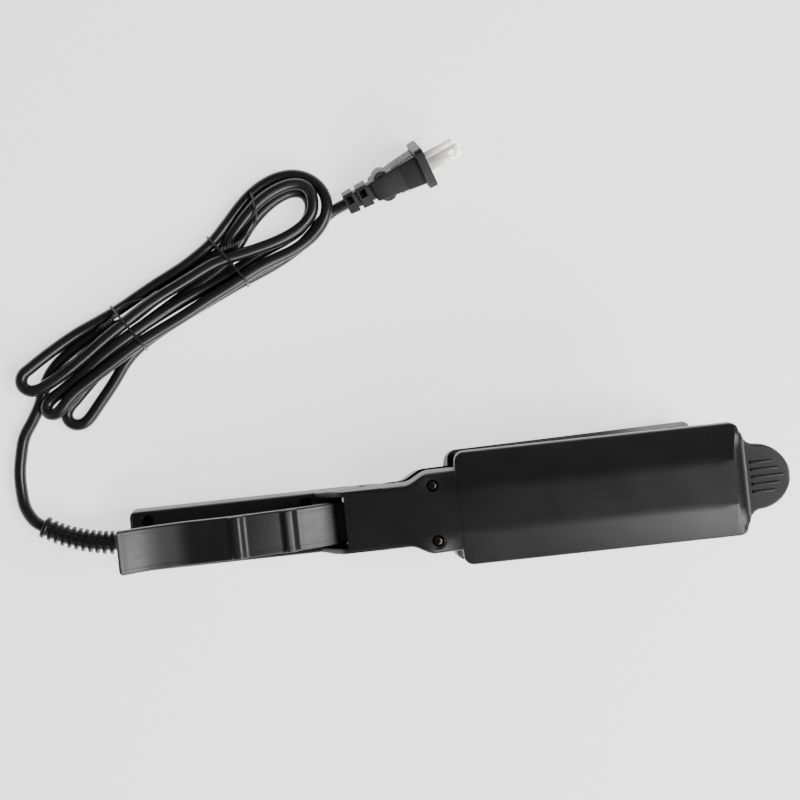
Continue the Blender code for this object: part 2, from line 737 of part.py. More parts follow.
def build_lever(parent, finish):
    """Squeeze lever, web, drum round the pin and the tongue that carries the lower jaw."""
    outline = lever_top() + lever_bottom(LEVER_DEPTH)[::-1]
    half = LEVER_WIDTH / 2
    lever = place("lever", side_prism("lever", outline, -half, half), parent, finish)
    drum_half = DRUM_WIDTH / 2
    drum = [(0, DRUM_RADIUS), (DRUM_WIDTH, DRUM_RADIUS)]
    tongue = [
        (0, TONGUE_TOP + 1 * MM),
        (CARRIER_START - 2 * MM, TONGUE_TOP),
        (TONGUE_END, TONGUE_TOP),
        (TONGUE_END, TONGUE_BOTTOM),
        (7 * MM, TONGUE_BOTTOM),
        (0, -DRUM_RADIUS + 1 * MM),
    ]
    root = [
        (-15 * MM, 3.0 * MM),
        (-9 * MM, 4.4 * MM),
        (-3 * MM, 7.0 * MM),
        (0, 0),
        (-5 * MM, -3.4 * MM),
        (-14 * MM, -1.6 * MM),
    ]
    lug_x = (HANDLE_FRONT + GAP + STOP_LUG_DEPTH * math.sin(OPEN_ANGLE)) / math.cos(OPEN_ANGLE)
    lug = [
        (lug_x, -STOP_LUG_DEPTH),
        (lug_x + 5 * MM, -STOP_LUG_DEPTH),
        (4 * MM, -4 * MM),
        (lug_x, -4 * MM),
    ]
    lug_half = STOP_LUG_WIDTH / 2
    combine(
        lever,
        "UNION",
        [
            side_prism("root", root, -drum_half, drum_half),
            turned("drum", (0, -drum_half, 0), (0, 1, 0), drum, 28),
            side_prism("tongue", tongue, -drum_half + 0.4 * MM, drum_half - 0.4 * MM),
            side_prism("lug", lug, -lug_half, lug_half),
        ],
    )
    inner = half - LEVER_WALL
    channel = [p for p in lever_bottom(LEVER_SKIN) if -106 * MM < p[0] < -18 * MM]
    channel += [(x, z - LEVER_DEPTH) for x, z in channel[::-1]]
    pocket = [(0, SPRING_POCKET), (SPRING_POCKET_DEPTH + BOOLEAN_REACH, SPRING_POCKET)]
    pocket_base = (0, drum_half - SPRING_POCKET_DEPTH, 0)
    combine(
        lever,
        "DIFFERENCE",
        [
            side_prism("channel", channel, -inner, inner),
            pin_hole("lever_pin_hole", HANDLE_WIDTH),
            turned("spring_pocket", pocket_base, (0, 1, 0), pocket, 24),
        ],
    )
    return lever


def build_lower_jaw_shell(parent, finish):
    """The lower hood and arm, the upper one's mirror below the meeting plane."""
    start = LOWER_JAW_START
    shell = place("lower_jaw_shell", jaw_solid("lower_jaw_shell", start, True), parent, finish)
    combine(shell, "UNION", tab_ribs("lower_rib", True))
    mouth = DRUM_WIDTH / 2 + GAP
    ways_in = box(
        "way_in",
        (start - WALL, -mouth, -JAW_RISE + WALL),
        (start + 3 * WALL, mouth, -JAW_RIM + BOOLEAN_REACH),
    )
    hollow = jaw_hollow("lower_hollow", start + 2 * WALL, True)
    combine(shell, "DIFFERENCE", [hollow, ways_in])
    seat = -ARM_SCREW_SEAT
    far = seat + 2.2 * MM
    posts = [
        boss("boss", x, y, -JAW_RISE + 1.3 * MM, far, BOSS_RADIUS) for x, y in arm_screw_places()
    ]
    combine_later(shell, "UNION", posts, "posts")
    openings = []
    for x, y in arm_screw_places():
        openings += screw_openings(x, y, seat, -JAW_RISE, far, -1)
    combine_later(shell, "DIFFERENCE", openings, "screws")
    return shell


# ---------------------------------------------------------------- pivot, spring, leads, relief


def tube(name, points, radius, parent, finish, resolution=2):
    """A round wire or cord along points, with filled ends."""
    curve = bpy.data.curves.new(name, "CURVE")
    curve.dimensions = "3D"
    curve.bevel_depth = radius
    curve.bevel_resolution = resolution
    curve.use_fill_caps = True
    spline = curve.splines.new("POLY")
    spline.points.add(len(points) - 1)
    for p, co in zip(spline.points, points):
        p.co = (*co, 1.0)
    return place(name, curve, parent, finish)


def smooth_route(points, spacing):
    """Points about spacing apart on a smooth curve through the given ones."""
    knots = [Vector(p) for p in points]
    ends = [2 * knots[0] - knots[1]] + knots + [2 * knots[-1] - knots[-2]]
    fine = []
    for a, b, c, d in zip(ends, ends[1:], ends[2:], ends[3:]):
        for i in range(24):
            t = i / 24
            fine.append(
                0.5
                * (
                    2 * b
                    + (c - a) * t
                    + (2 * a - 5 * b + 4 * c - d) * t**2
                    + (3 * b - 3 * c + d - a) * t**3
                )
            )
    fine.append(knots[-1])
    along = [0.0]
    for p, q in zip(fine, fine[1:]):
        along.append(along[-1] + (q - p).length)
    steps = max(2, round(along[-1] / spacing))
    made, i = [], 0
    for k in range(steps + 1):
        want = along[-1] * k / steps
        while i < len(along) - 2 and along[i + 1] < want:
            i += 1
        share = (want - along[i]) / max(along[i + 1] - along[i], 1e-12)
        made.append(fine[i].lerp(fine[i + 1], share))
    return made


def build_pivot(parent, steel):
    """Pivot pin across the cheeks."""
    half = HANDLE_WIDTH / 2 - 1.5 * MM
    line = [(0, PIN_RADIUS * 0.8), (0.5 * MM, PIN_RADIUS), (2 * half - 0.5 * MM, PIN_RADIUS)]
    line.append((2 * half, PIN_RADIUS * 0.8))
    place("pivot_pin", turned("pivot_pin", (0, -half, 0), (0, 1, 0), line, 20), parent, steel)


def build_spring(parent, steel):
    """Torsion spring in the drum's pocket, with one leg up against the arm's roof."""
    floor = DRUM_WIDTH / 2 - SPRING_POCKET_DEPTH + SPRING_WIRE + GAP
    pitch = 2 * SPRING_WIRE + GAP / 2
    points = []
    steps = 12
    for i in range(SPRING_TURNS * steps + 1):
        a = 2 * math.pi * i / steps + math.radians(20)
        y = floor + pitch * i / steps
        points.append((SPRING_COIL * math.cos(a), y, SPRING_COIL * math.sin(a)))
    last = Vector(points[-1])
    beyond = (DRUM_WIDTH + CROSSING_WIDTH) / 4
    points.append((last.x + 0.2 * MM, beyond, last.z + 2.2 * MM))
    points.append((last.x + 2.4 * MM, beyond, JAW_RISE - WALL - SPRING_WIRE - GAP))
    tube("return_spring", points, SPRING_WIRE, parent, steel, 1)


def build_leads(parent, jaw, finishes):
    """Insulated wires: connectors in the handle, leads to the upper heater, leads in the lower jaw."""
    wire = 0.75 * MM
    behind = STUB_END + 6 * MM
    heater_end = PLATE_START + (PLATE_LENGTH - HEATER_SIZE[0]) / 2 - GAP
    for i, (y, low, high) in enumerate(lead_places()):
        side = 1 if i == 0 else -1
        start = (behind + 10 * MM + 2 * GAP, side * 3.2 * MM, HANDLE_PARTING)
        route = [
            start,
            (-50 * MM, side * 2.6 * MM, HANDLE_PARTING + 1 * MM),
            (-24 * MM, -2.6 * MM + side * 1.2 * MM, low - 0.4 * MM),
            (-17 * MM, y + 1.4 * MM, low),
            (-12.6 * MM, y, low),
            (-9.0 * MM, y, low + 0.2 * MM),
            (-5.4 * MM - (1 + side) * 1.0 * MM, y, low / 2 + high / 2 + 1 * MM),
            (0, y, high),
            (10 * MM, y, high + 0.4 * MM),
            (24 * MM, -side * 3.4 * MM - 3 * MM, high),
            (heater_end, -side * 4 * MM, PLATE_BACK + 2 * MM),
        ]
        name = ("lead_live", "lead_neutral")[i]
        tube(name, smooth_route(route, 2.4 * MM), wire, parent, finishes[i], 1)
        body = [(0, 1.2 * MM), (1 * MM, 2.2 * MM), (9 * MM, 2.2 * MM), (10 * MM, 1.4 * MM)]
        base = (behind + GAP, start[1], start[2])
        connector = turned("connector", base, (1, 0, 0), body, 12)
        place(f"wire_connector_{i + 1}", connector, parent, finishes[2])
        core = [(STUB_END + GAP, side * 1.2 * MM, start[2]), (behind, start[1], start[2])]
        tube(f"cord_core_{i + 1}", smooth_route(core, 3 * MM), wire, parent, finishes[i], 1)
        inner = [
            (TONGUE_END + 3 * MM, side * 4 * MM, TONGUE_BOTTOM + 3 * MM),
            (TONGUE_END + 12 * MM, side * 4 * MM, -PLATE_BACK - 2.4 * MM),
            (heater_end, side * 4 * MM, -PLATE_BACK - 2 * MM),
        ]
        tube(f"lower_lead_{i + 1}", smooth_route(inner, 5 * MM), wire, jaw, finishes[i], 1)


def clamp_post_top():
    """Where the posts under the cord clamp end."""
    return HANDLE_PARTING + CORD_RADIUS


def clamp_thickness():
    """The bar fills the height between the cord and its own screws, under the handle's top."""
    height = HANDLE_TOP - WALL - clamp_post_top()
    return height - 2 * GAP - CLAMP_SCREW_HEIGHT


def build_cord_clamp(parent, finishes):
    """The cord's end inside the handle, with the bar that grips it and the bar's two screws."""
    start = HANDLE_END + RELIEF_INSIDE + GAP
    line = [(0, CORD_RADIUS), (STUB_END - start, CORD_RADIUS)]
    stub = turned("cord_stub", (start, 0, HANDLE_PARTING), (1, 0, 0), line, 20)
    place("cord_stub", stub, parent, finishes["cord"])
    level = clamp_post_top() + GAP
    thick = clamp_thickness()
    size = (*CLAMP_SIZE, thick)
    bar = slab("cord_clamp", size, CLAMP_PLACE, level, parent, finishes["carrier"])
    holes = []
    for i, side in enumerate((1, -1)):
        x, y = CLAMP_PLACE, side * CLAMP_SPREAD
        low, high = level - BOOLEAN_REACH, level + thick + BOOLEAN_REACH
        holes.append(boss("hole", x, y, low, high, CLAMP_SCREW_SHANK + GAP))
        head, neck = CLAMP_SCREW_HEIGHT, GAP / 2
        profile = [
            (0, CLAMP_SCREW_HEAD * 0.8),
            (head * 0.5, CLAMP_SCREW_HEAD),
            (head - neck, CLAMP_SCREW_HEAD),
            (head - neck, CLAMP_SCREW_SHANK),
            (head + CLAMP_SCREW_LENGTH, CLAMP_SCREW_SHANK * 0.8),
        ]
        top = (x, y, level + thick + head)
        mesh = turned("clamp_screw", top, (0, 0, -1), profile, 12)
        place(f"clamp_screw_{i + 1}", mesh, parent, finishes["screw"])
    combine(bar, "DIFFERENCE", holes)


# ---------------------------------------------------------------- cord, hank and plug


def swept(name, route, profile, sides):
    """A mesh along a route. The profile is (share of the route's length, radius)."""
    along = [0.0]
    for p, q in zip(route, route[1:]):
        along.append(along[-1] + (q - p).length)
    rows = []
    for share, radius in profile:
        want = along[-1] * share
        i = max(k for k in range(len(along) - 1) if along[k] <= want + 1e-12)
        t = (want - along[i]) / (along[i + 1] - along[i])
        centre = route[i].lerp(route[i + 1], t)
        before, after = route[max(0, i - 1)], route[min(len(route) - 1, i + 2)]
        forward = (after - before).normalized()
        across = forward.cross(Vector((0, 0, 1))).normalized()
        up = across.cross(forward)
        angles = [2 * math.pi * k / sides for k in range(sides)]
        rows.append([centre + radius * (across * math.cos(a) + up * math.sin(a)) for a in angles])
    return loft(name, rows)


def build_strain_relief(tool, root, finish):
    """Finned sleeve from inside the heel to the cord, bent the way the cord leaves."""
    at = root.matrix_world.inverted() @ tool.matrix_world
    level = HANDLE_PARTING
    inner = at @ Vector((HANDLE_END + RELIEF_INSIDE, 0, level))
    outer = at @ Vector((HANDLE_END, 0, level))
    beyond = at @ Vector((HANDLE_END - 4 * MM, 0, level))
    route = smooth_route([inner, outer, beyond, *RELIEF_ROUTE], 1.0 * MM)
    total = sum((q - p).length for p, q in zip(route, route[1:]))
    inside = RELIEF_INSIDE / total
    wall = (WALL + GAP) / total
    first = inside + 0.8 * MM / total
    last = 1 - (RELIEF_COLLAR + 1.2 * MM) / total
    flange = min(RELIEF_FLANGE, HANDLE_PARTING - HANDLE_BOTTOM - WALL)
    profile = [(0, flange), (inside - wall, flange), (inside - wall, RELIEF_NECK)]
    profile.append((first, RELIEF_NECK))
    pitch = (last - first) / RELIEF_FINS
    for i in range(RELIEF_FINS):
        t = i / (RELIEF_FINS - 1)
        radius = RELIEF_FIN_RADII[0] + (RELIEF_FIN_RADII[1] - RELIEF_FIN_RADII[0]) * t
        a, b = first + pitch * i, first + pitch * (i + RELIEF_FIN_SHARE)
        profile += [(a, RELIEF_CORE), (a, radius), (b, radius), (b, RELIEF_CORE)]
    collar = 1 - RELIEF_COLLAR / total
    end = RELIEF_FIN_RADII[1] + 0.2 * MM
    profile += [(collar, RELIEF_CORE), (collar, end), (1, end)]
    place("strain_relief", swept("strain_relief", route, profile, 16), root, finish)
    return (route[-1] - route[-2]).normalized()


def hank_outline():
    """The hank seen from above: two round ends and a waist between the ties."""
    a, b = (Vector(p) for p in HANK_ENDS)
    forward = (b - a).normalized()
    side = Vector((-forward.y, forward.x))
    waist, loop_half = HANK_HALF
    upper, lower = [], []
    steps = 12
    for i in range(steps + 1):
        t = i / steps
        centre = a.lerp(b, t)
        half = waist + (loop_half - waist) * abs(2 * t - 1) ** 2.5
        upper.append(centre + side * half)
        lower.append(centre - side * half)
    ends = []
    for centre, sign in ((b, 1), (a, -1)):
        turn = [math.pi * k / 10 for k in range(1, 10)]
        ends.append(
            [
                centre + loop_half * sign * (side * math.cos(g) + forward * math.sin(g))
                for g in turn
            ]
        )
    return upper + ends[0] + lower[::-1] + ends[1]


def build_hank(root, cord, wire):
    """The folded cord as one body, and the two wires twisted round it."""
    rows = [[(p.x, p.y, z) for p in hank_outline()] for z in HANK_LEVELS]
    place("cord_hank", loft("cord_hank", rows), root, cord)
    a, b = (Vector(p) for p in HANK_ENDS)
    forward = (b - a).normalized()
    side = Vector((-forward.y, forward.x))
    waist, loop_half = HANK_HALF
    for i, t in enumerate(TIE_PLACES):
        centre = a.lerp(b, t)
        half = waist + (loop_half - waist) * abs(2 * t - 1) ** 2.5 + GAP + 1.4 * TIE_WIRE
        low, high = HANK_LEVELS[0] - GAP - TIE_WIRE, HANK_LEVELS[1] + GAP + TIE_WIRE
        corner = 1.0 * MM
        loop = []
        for sx, sz, start in ((1, 1, 0), (-1, 1, 90), (-1, -1, 180), (1, -1, 270)):
            middle = (sx * (half - corner), (high if sz > 0 else low) - sz * corner)
            loop += arc(middle, corner, start, start + 90, 3)
        points = [(centre.x + side.x * v, centre.y + side.y * v, z) for v, z in loop]
        tie = tube(f"twist_tie_{i + 1}", points, TIE_WIRE, root, wire, 1)
        tie.data.splines[0].use_cyclic_u = True


def plug_matrix():
    """Places the plug's own frame on the table."""
    turn = (
        Matrix.Rotation(PLUG_YAW, 4, "Z")
        @ Matrix.Rotation(-PLUG_PITCH, 4, "Y")
        @ Matrix.Rotation(PLUG_ROLL, 4, "X")
    )
    return Matrix.Translation(PLUG_START) @ turn


def build_plug(root, body_finish, blade_finish):
    """Two-blade plug, lying on the edge of its flange."""
    at = plug_matrix()
    chamfer = 0.8 * MM
    rows = []
    for x, half_y, half_z in PLUG_BODY:
        y, z, c = half_y, half_z, chamfer
        loop = [(y, z - c), (y - c, z), (c - y, z), (-y, z - c)]
        loop += [(-y, c - z), (c - y, -z), (y - c, -z), (y, c - z)]
        rows.append([at @ Vector((x, v, w)) for v, w in loop])
    place("plug_body", loft("plug_body", rows), root, body_finish)
    length, width, thick = BLADE_SIZE
    for i, side in enumerate((1, -1)):
        low = (PLUG_LENGTH + GAP, -width / 2, side * BLADE_SPREAD - thick / 2)
        high = (PLUG_LENGTH + length, width / 2, side * BLADE_SPREAD + thick / 2)
        mesh = box(f"plug_blade_{i + 1}", low, high)
        mesh.transform(at)
        blade = place(f"plug_blade_{i + 1}", mesh, root, blade_finish)
        hole = (PLUG_LENGTH + BLADE_HOLE[0], 0, side * BLADE_SPREAD - thick)
        line = [(0, BLADE_HOLE[1]), (2 * thick, BLADE_HOLE[1])]
        cutter = turned("blade_hole", hole, (0, 0, 1), line, 16)
        cutter.transform(at)
        combine(blade, "DIFFERENCE", [cutter])


def build_cord(root, relief_end, finish):
    """Lead from the strain relief to the hank, and tail from the hank to the plug."""
    start = Vector(RELIEF_ROUTE[-1]) + relief_end * 2 * GAP
    route = [start, start + relief_end * 3 * MM, *LEAD_ROUTE]
    tube("cord_lead", smooth_route(route, 4 * MM), CORD_RADIUS, root, finish, 3)
    to_plug = plug_matrix().to_3x3() @ Vector((1, 0, 0))
    end = Vector(PLUG_START) - to_plug * GAP
    tube("cord_tail", smooth_route([TAIL_START, end], 3 * MM), CORD_RADIUS, root, finish, 3)


# ---------------------------------------------------------------- resting on the table


def tool_points(tool):
    """All the tool's points as (x, z) in its own frame, with the jaw at its rest angle."""
    bpy.context.view_layer.update()
    graph = bpy.context.evaluated_depsgraph_get()
    to_tool = tool.matrix_world.inverted()
    found = []
    for obj in tool.children_recursive:
        if obj.type == "EMPTY" or obj.hide_render:
            continue
        evaluated = obj.evaluated_get(graph)
        mesh = evaluated.to_mesh()
        matrix = to_tool @ evaluated.matrix_world
        found += [matrix @ v.co for v in mesh.vertices]
        evaluated.to_mesh_clear()
    return found


def lower_hull(points):
    """The lower convex edge of (x, z) points, from left to right."""
    hull = []
    for p in sorted(points):
        while len(hull) > 1:
            (x0, z0), (x1, z1) = hull[-2:]
            if (x1 - x0) * (p[1] - z0) - (z1 - z0) * (p[0] - x0) > 0:
                break
            hull.pop()
        hull.append(p)
    return hull


def lay_on_table(tool):
    """Turns the tool onto the two places it stands on, and centres it over the origin."""
    points = tool_points(tool)
    hull = lower_hull([(round(p.x, 6), round(p.z, 6)) for p in points])
    balance = sum(p.x for p in points) / len(points)
    (x0, z0), (x1, z1) = next(
        (a, b) for a, b in zip(hull, hull[1:]) if a[0] <= balance <= b[0]
    )
    pitch = math.atan2(z1 - z0, x1 - x0)
    turn = Matrix.Rotation(pitch, 4, "Y")
    turned_points = [turn @ p for p in points]
    xs, zs = [p.x for p in turned_points], [p.z for p in turned_points]
    tool.rotation_euler = (0, pitch, 0)
    tool.location = (-(min(xs) + max(xs)) / 2, 0, -min(zs))
    return pitch


def main():
    for obj in list(bpy.data.objects):
        bpy.data.objects.remove(obj)
    black = material("black_abs", (0.018, 0.018, 0.019), 0.42)
    finishes = {
        "plate": material("ceramic_coat", (0.06, 0.06, 0.065), 0.3, 0.6),
        "heater": material("mica", (0.55, 0.47, 0.33), 0.6),
        "steel": material("spring_steel", (0.5, 0.5, 0.5), 0.35, 1.0),
        "carrier": material("heatproof_black", (0.02, 0.02, 0.02), 0.6),
        "screw": material("black_oxide", (0.06, 0.045, 0.035), 0.4, 0.9),
        "cord": material("black_pvc", (0.014, 0.014, 0.015), 0.38),
        "tie": material("tie_wire", (0.02, 0.02, 0.02), 0.45),
        "blade": material("nickel", (0.72, 0.7, 0.66), 0.22, 1.0),
    }
    leads = [
        material("lead_red", (0.35, 0.03, 0.02), 0.5),
        material("lead_white", (0.7, 0.7, 0.68), 0.5),
        material("crimp_cap", (0.75, 0.75, 0.72), 0.5),
    ]
    tool = empty("tool")
    jaw = empty("lower_jaw", tool)
    build_upper_shell(tool, black)
    build_handle_lower_shell(tool, black)
    build_carrier("upper_plate_carrier", CARRIER_START, tool, finishes["carrier"])
    build_heating("upper", tool, finishes)
    build_pivot(tool, finishes["steel"])
    build_spring(tool, finishes["steel"])
    build_leads(tool, jaw, leads)
    build_cord_clamp(tool, finishes)
    for i, (x, y) in enumerate(handle_screw_places()):
        screw(f"handle_screw_{i + 1}", x, y, HANDLE_SCREW_SEAT, screw_tip(), tool, finishes["screw"])
    tip = JAW_RIM + CARRIER_THICKNESS / 2 + 1 * MM
    for i, (x, y) in enumerate(arm_screw_places()):
        screw(f"upper_arm_screw_{i + 1}", x, y, ARM_SCREW_SEAT, tip, tool, finishes["screw"])
        name = f"lower_arm_screw_{i + 1}"
        screw(name, x, y, -ARM_SCREW_SEAT, -tip, jaw, finishes["screw"], -1)
    build_lever(jaw, black)
    build_lower_jaw_shell(jaw, black)
    start = LOWER_JAW_START + WALL + GAP
    build_carrier("lower_plate_carrier", start, jaw, finishes["carrier"], -1)
    build_heating("lower", jaw, finishes, -1)
    jaw.rotation_euler = (0, OPEN_ANGLE, 0)
    lay_on_table(tool)
    bpy.context.view_layer.update()
    laid = empty("cord")
    heel = tool.matrix_world @ Vector((HANDLE_END, 0, HANDLE_PARTING))
    laid.location = (heel.x - CORD_SETBACK, 0, 0)
    bpy.context.view_layer.update()
    relief_end = build_strain_relief(tool, laid, finishes["cord"])
    build_cord(laid, relief_end, finishes["cord"])
    build_hank(laid, finishes["cord"], finishes["tie"])
    build_plug(laid, finishes["cord"], finishes["blade"])


main()
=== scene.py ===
"""Looks of a hair crimper: moulded shells, crimping plates, screws, mains cord and plug.

Everything is built in the tool's own frame (X to the jaw tips, Y across, Z up towards the lever,
pivot pin along Y through the origin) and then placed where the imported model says: the handle body
by the handle's mount, the lower jaw body by the jaw's mount. The cord lies on the table.
"""

import sys

import json
import logging
import math
from collections.abc import Callable, Iterable, Sequence
from dataclasses import dataclass, field
from enum import Enum

import bmesh
import bpy
from mathutils import Matrix, Vector


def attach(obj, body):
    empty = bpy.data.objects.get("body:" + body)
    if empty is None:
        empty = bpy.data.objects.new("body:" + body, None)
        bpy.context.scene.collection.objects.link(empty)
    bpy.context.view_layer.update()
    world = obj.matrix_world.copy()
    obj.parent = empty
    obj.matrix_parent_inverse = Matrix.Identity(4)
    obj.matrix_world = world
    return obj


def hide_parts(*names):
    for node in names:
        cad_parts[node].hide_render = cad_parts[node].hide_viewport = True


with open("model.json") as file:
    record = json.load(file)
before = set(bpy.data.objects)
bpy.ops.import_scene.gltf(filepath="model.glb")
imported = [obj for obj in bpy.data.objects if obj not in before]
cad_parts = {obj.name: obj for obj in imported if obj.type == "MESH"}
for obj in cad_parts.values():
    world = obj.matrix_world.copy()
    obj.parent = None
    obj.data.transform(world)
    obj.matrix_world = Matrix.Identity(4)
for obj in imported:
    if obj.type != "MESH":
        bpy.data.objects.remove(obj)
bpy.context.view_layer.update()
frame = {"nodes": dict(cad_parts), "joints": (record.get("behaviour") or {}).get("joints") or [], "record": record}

log = logging.getLogger("crimper")
MM = 0.001
HANDLE = "handle"
JAW = "lower_jaw"


# ---------------------------------------------------------------- where the tool stands


def mount_up(mount_id: str) -> Vector:
    """The tool's upward axis at a mount whose face looks down.

    Args:
        mount_id: the mount's id in the record.

    Returns:
        The unit vector, in the model's frame.
    """
    mounts = frame["record"]["mounts"]
    found = next(m for m in mounts if m["name"] == mount_id)
    return -Vector(found["axis"]).normalized()


def placed(mount_id: str) -> Matrix:
    """Places the tool's own frame, pivot at its origin, in the model's frame.

    Args:
        mount_id: the mount whose axis gives the tilt.

    Returns:
        The matrix from tool to model.
    """
    hinge = next(j for j in frame["joints"] if j["name"] == "jaw_hinge")
    up = mount_up(mount_id)
    along = Vector((up.z, 0.0, -up.x))
    turn = Matrix((along, Vector((0, 1, 0)), up)).transposed().to_4x4()
    return Matrix.Translation(Vector(hinge["pos_m"])) @ turn


# ---------------------------------------------------------------- finishes


class Graph:
    """A material's node graph, with short ways to add what the finishes share."""

    def __init__(self, name: str) -> None:
        """Starts a material with a Principled shader and Object coordinates."""
        self.material = bpy.data.materials.new(name)
        self.material.use_nodes = True
        self.tree = self.material.node_tree
        self.shader = self.tree.nodes["Principled BSDF"]
        self.place = self.tree.nodes.new("ShaderNodeTexCoord").outputs["Object"]

    def set(self, **values: object) -> None:
        """Sets the shader's own sockets, named with underscores for spaces."""
        for key, value in values.items():
            self.shader.inputs[key.replace("_", " ")].default_value = value

    def noise(
        self, size: float, detail: float = 4.0, stretch: Sequence[float] = (1, 1, 1)
    ) -> bpy.types.NodeSocket:
        """Noise whose features are about size across.

        Args:
            size: metres.
            detail: octaves.
            stretch: how much longer the features are along each axis.

        Returns:
            The noise's value, 0 to 1.
        """
        mapping = self.tree.nodes.new("ShaderNodeMapping")
        mapping.inputs["Scale"].default_value = [1 / s for s in stretch]
        self.tree.links.new(self.place, mapping.inputs["Vector"])
        made = self.tree.nodes.new("ShaderNodeTexNoise")
        made.inputs["Scale"].default_value = 1 / size
        made.inputs["Detail"].default_value = detail
        self.tree.links.new(mapping.outputs[0], made.inputs["Vector"])
        return made.outputs["Fac"]

    def spread(
        self, value: bpy.types.NodeSocket, low: float, high: float, out: tuple[float, float]
    ) -> bpy.types.NodeSocket:
        """Maps a value from low..high to a range, clamped."""
        made = self.tree.nodes.new("ShaderNodeMapRange")
        for name, number in zip(("From Min", "From Max", "To Min", "To Max"), (low, high, *out)):
            made.inputs[name].default_value = number
        self.tree.links.new(value, made.inputs["Value"])
        return made.outputs["Result"]

    def shades(
        self, value: bpy.types.NodeSocket, dark: Sequence[float], light: Sequence[float]
    ) -> None:
        """Colours the shader between two shades by a value."""
        made = self.tree.nodes.new("ShaderNodeMix")
        made.data_type = "RGBA"
        # the colour sockets of a Mix node are the third pair of their names
        made.inputs[6].default_value = (*dark, 1)
        made.inputs[7].default_value = (*light, 1)
        self.tree.links.new(value, made.inputs["Factor"])
        self.tree.links.new(made.outputs[2], self.shader.inputs["Base Color"])

    def rough(self, value: bpy.types.NodeSocket) -> None:
        """Drives the shader's roughness."""
        self.tree.links.new(value, self.shader.inputs["Roughness"])

    def relief(self, layers: Iterable[tuple[bpy.types.NodeSocket, float]]) -> None:
        """Bumps the surface by layers of (height, depth in metres)."""
        previous = None
        for height, depth in layers:
            made = self.tree.nodes.new("ShaderNodeBump")
            made.inputs["Strength"].default_value = 1.0
            made.inputs["Distance"].default_value = depth
            self.tree.links.new(height, made.inputs["Height"])
            if previous is not None:
                self.tree.links.new(previous, made.inputs["Normal"])
            previous = made.outputs["Normal"]
        self.tree.links.new(previous, self.shader.inputs["Normal"])


@dataclass(frozen=True)
class Plastic:
    """Moulded or extruded plastic with a fine skin, flow clouds and light scuffs."""

    name: str
    dark: tuple[float, float, float]
    light: tuple[float, float, float]
    gloss: tuple[float, float]  # roughness where polished by the hand, and where matt
    grain: float = 0.35 * MM
    depth: float = 0.006 * MM
    ripple: float = 0.004 * MM
    scuff: tuple[float, float, float] = (9.0, 1.0, 1.0)
    specular: float = 0.5

    def make(self) -> bpy.types.Material:
        """Builds the material."""
        g = Graph(self.name)
        g.set(Specular_IOR_Level=self.specular)
        clouds = g.noise(22 * MM, 3)
        g.shades(g.spread(clouds, 0.35, 0.65, (0, 1)), self.dark, self.light)
        scuffs = g.noise(1.6 * MM, 5, self.scuff)
        worn = g.tree.nodes.new("ShaderNodeMath")
        worn.operation = "MULTIPLY_ADD"
        worn.inputs[1].default_value = 0.5
        g.tree.links.new(scuffs, worn.inputs[0])
        g.tree.links.new(g.spread(clouds, 0.3, 0.7, (0, 0.3)), worn.inputs[2])
        g.rough(g.spread(worn.outputs[0], 0.25, 0.75, self.gloss))
        g.relief([(g.noise(9 * MM, 2), self.ripple), (g.noise(self.grain, 3), self.depth)])
        return g.material


@dataclass(frozen=True)
class Metal:
    """Drawn, stamped or plated metal with tool lines."""

    name: str
    dark: tuple[float, float, float]
    light: tuple[float, float, float]
    gloss: tuple[float, float]
    lines: tuple[float, float, float] = (12.0, 1.0, 1.0)
    depth: float = 0.004 * MM

    def make(self) -> bpy.types.Material:
        """Builds the material."""
        g = Graph(self.name)
        g.set(Metallic=1.0)
        g.shades(g.spread(g.noise(3 * MM, 4), 0.35, 0.7, (0, 1)), self.dark, self.light)
        streaks = g.noise(0.4 * MM, 4, self.lines)
        g.rough(g.spread(streaks, 0.3, 0.7, self.gloss))
        g.relief([(streaks, self.depth)])
        return g.material


@dataclass(frozen=True)
class Ceramic:
    """Baked ceramic coat on a pressed plate: fine speckle over a dull metallic ground."""

    name: str
    dark: tuple[float, float, float]
    light: tuple[float, float, float]

    def make(self) -> bpy.types.Material:
        """Builds the material."""
        g = Graph(self.name)
        g.set(Metallic=0.35, Coat_Weight=0.3, Coat_Roughness=0.25)
        speck = g.noise(0.5 * MM, 2)
        g.shades(g.spread(speck, 0.45, 0.7, (0, 1)), self.dark, self.light)
        g.rough(g.spread(g.noise(6 * MM, 4), 0.3, 0.7, (0.24, 0.4)))
        g.relief([(speck, 0.006 * MM)])
        return g.material


@dataclass(frozen=True)
class Mica:
    """Layered heat-proof board: amber flakes."""

    name: str

    def make(self) -> bpy.types.Material:
        """Builds the material."""
        g = Graph(self.name)
        flakes = g.tree.nodes.new("ShaderNodeTexVoronoi")
        flakes.inputs["Scale"].default_value = 1 / (1.8 * MM)
        g.tree.links.new(g.place, flakes.inputs["Vector"])
        tone = flakes.outputs["Distance"]
        g.shades(g.spread(tone, 0.1, 0.7, (0, 1)), (0.36, 0.27, 0.15), (0.6, 0.5, 0.34))
        g.rough(g.spread(tone, 0.1, 0.7, (0.35, 0.6)))
        g.relief([(tone, 0.02 * MM)])
        return g.material


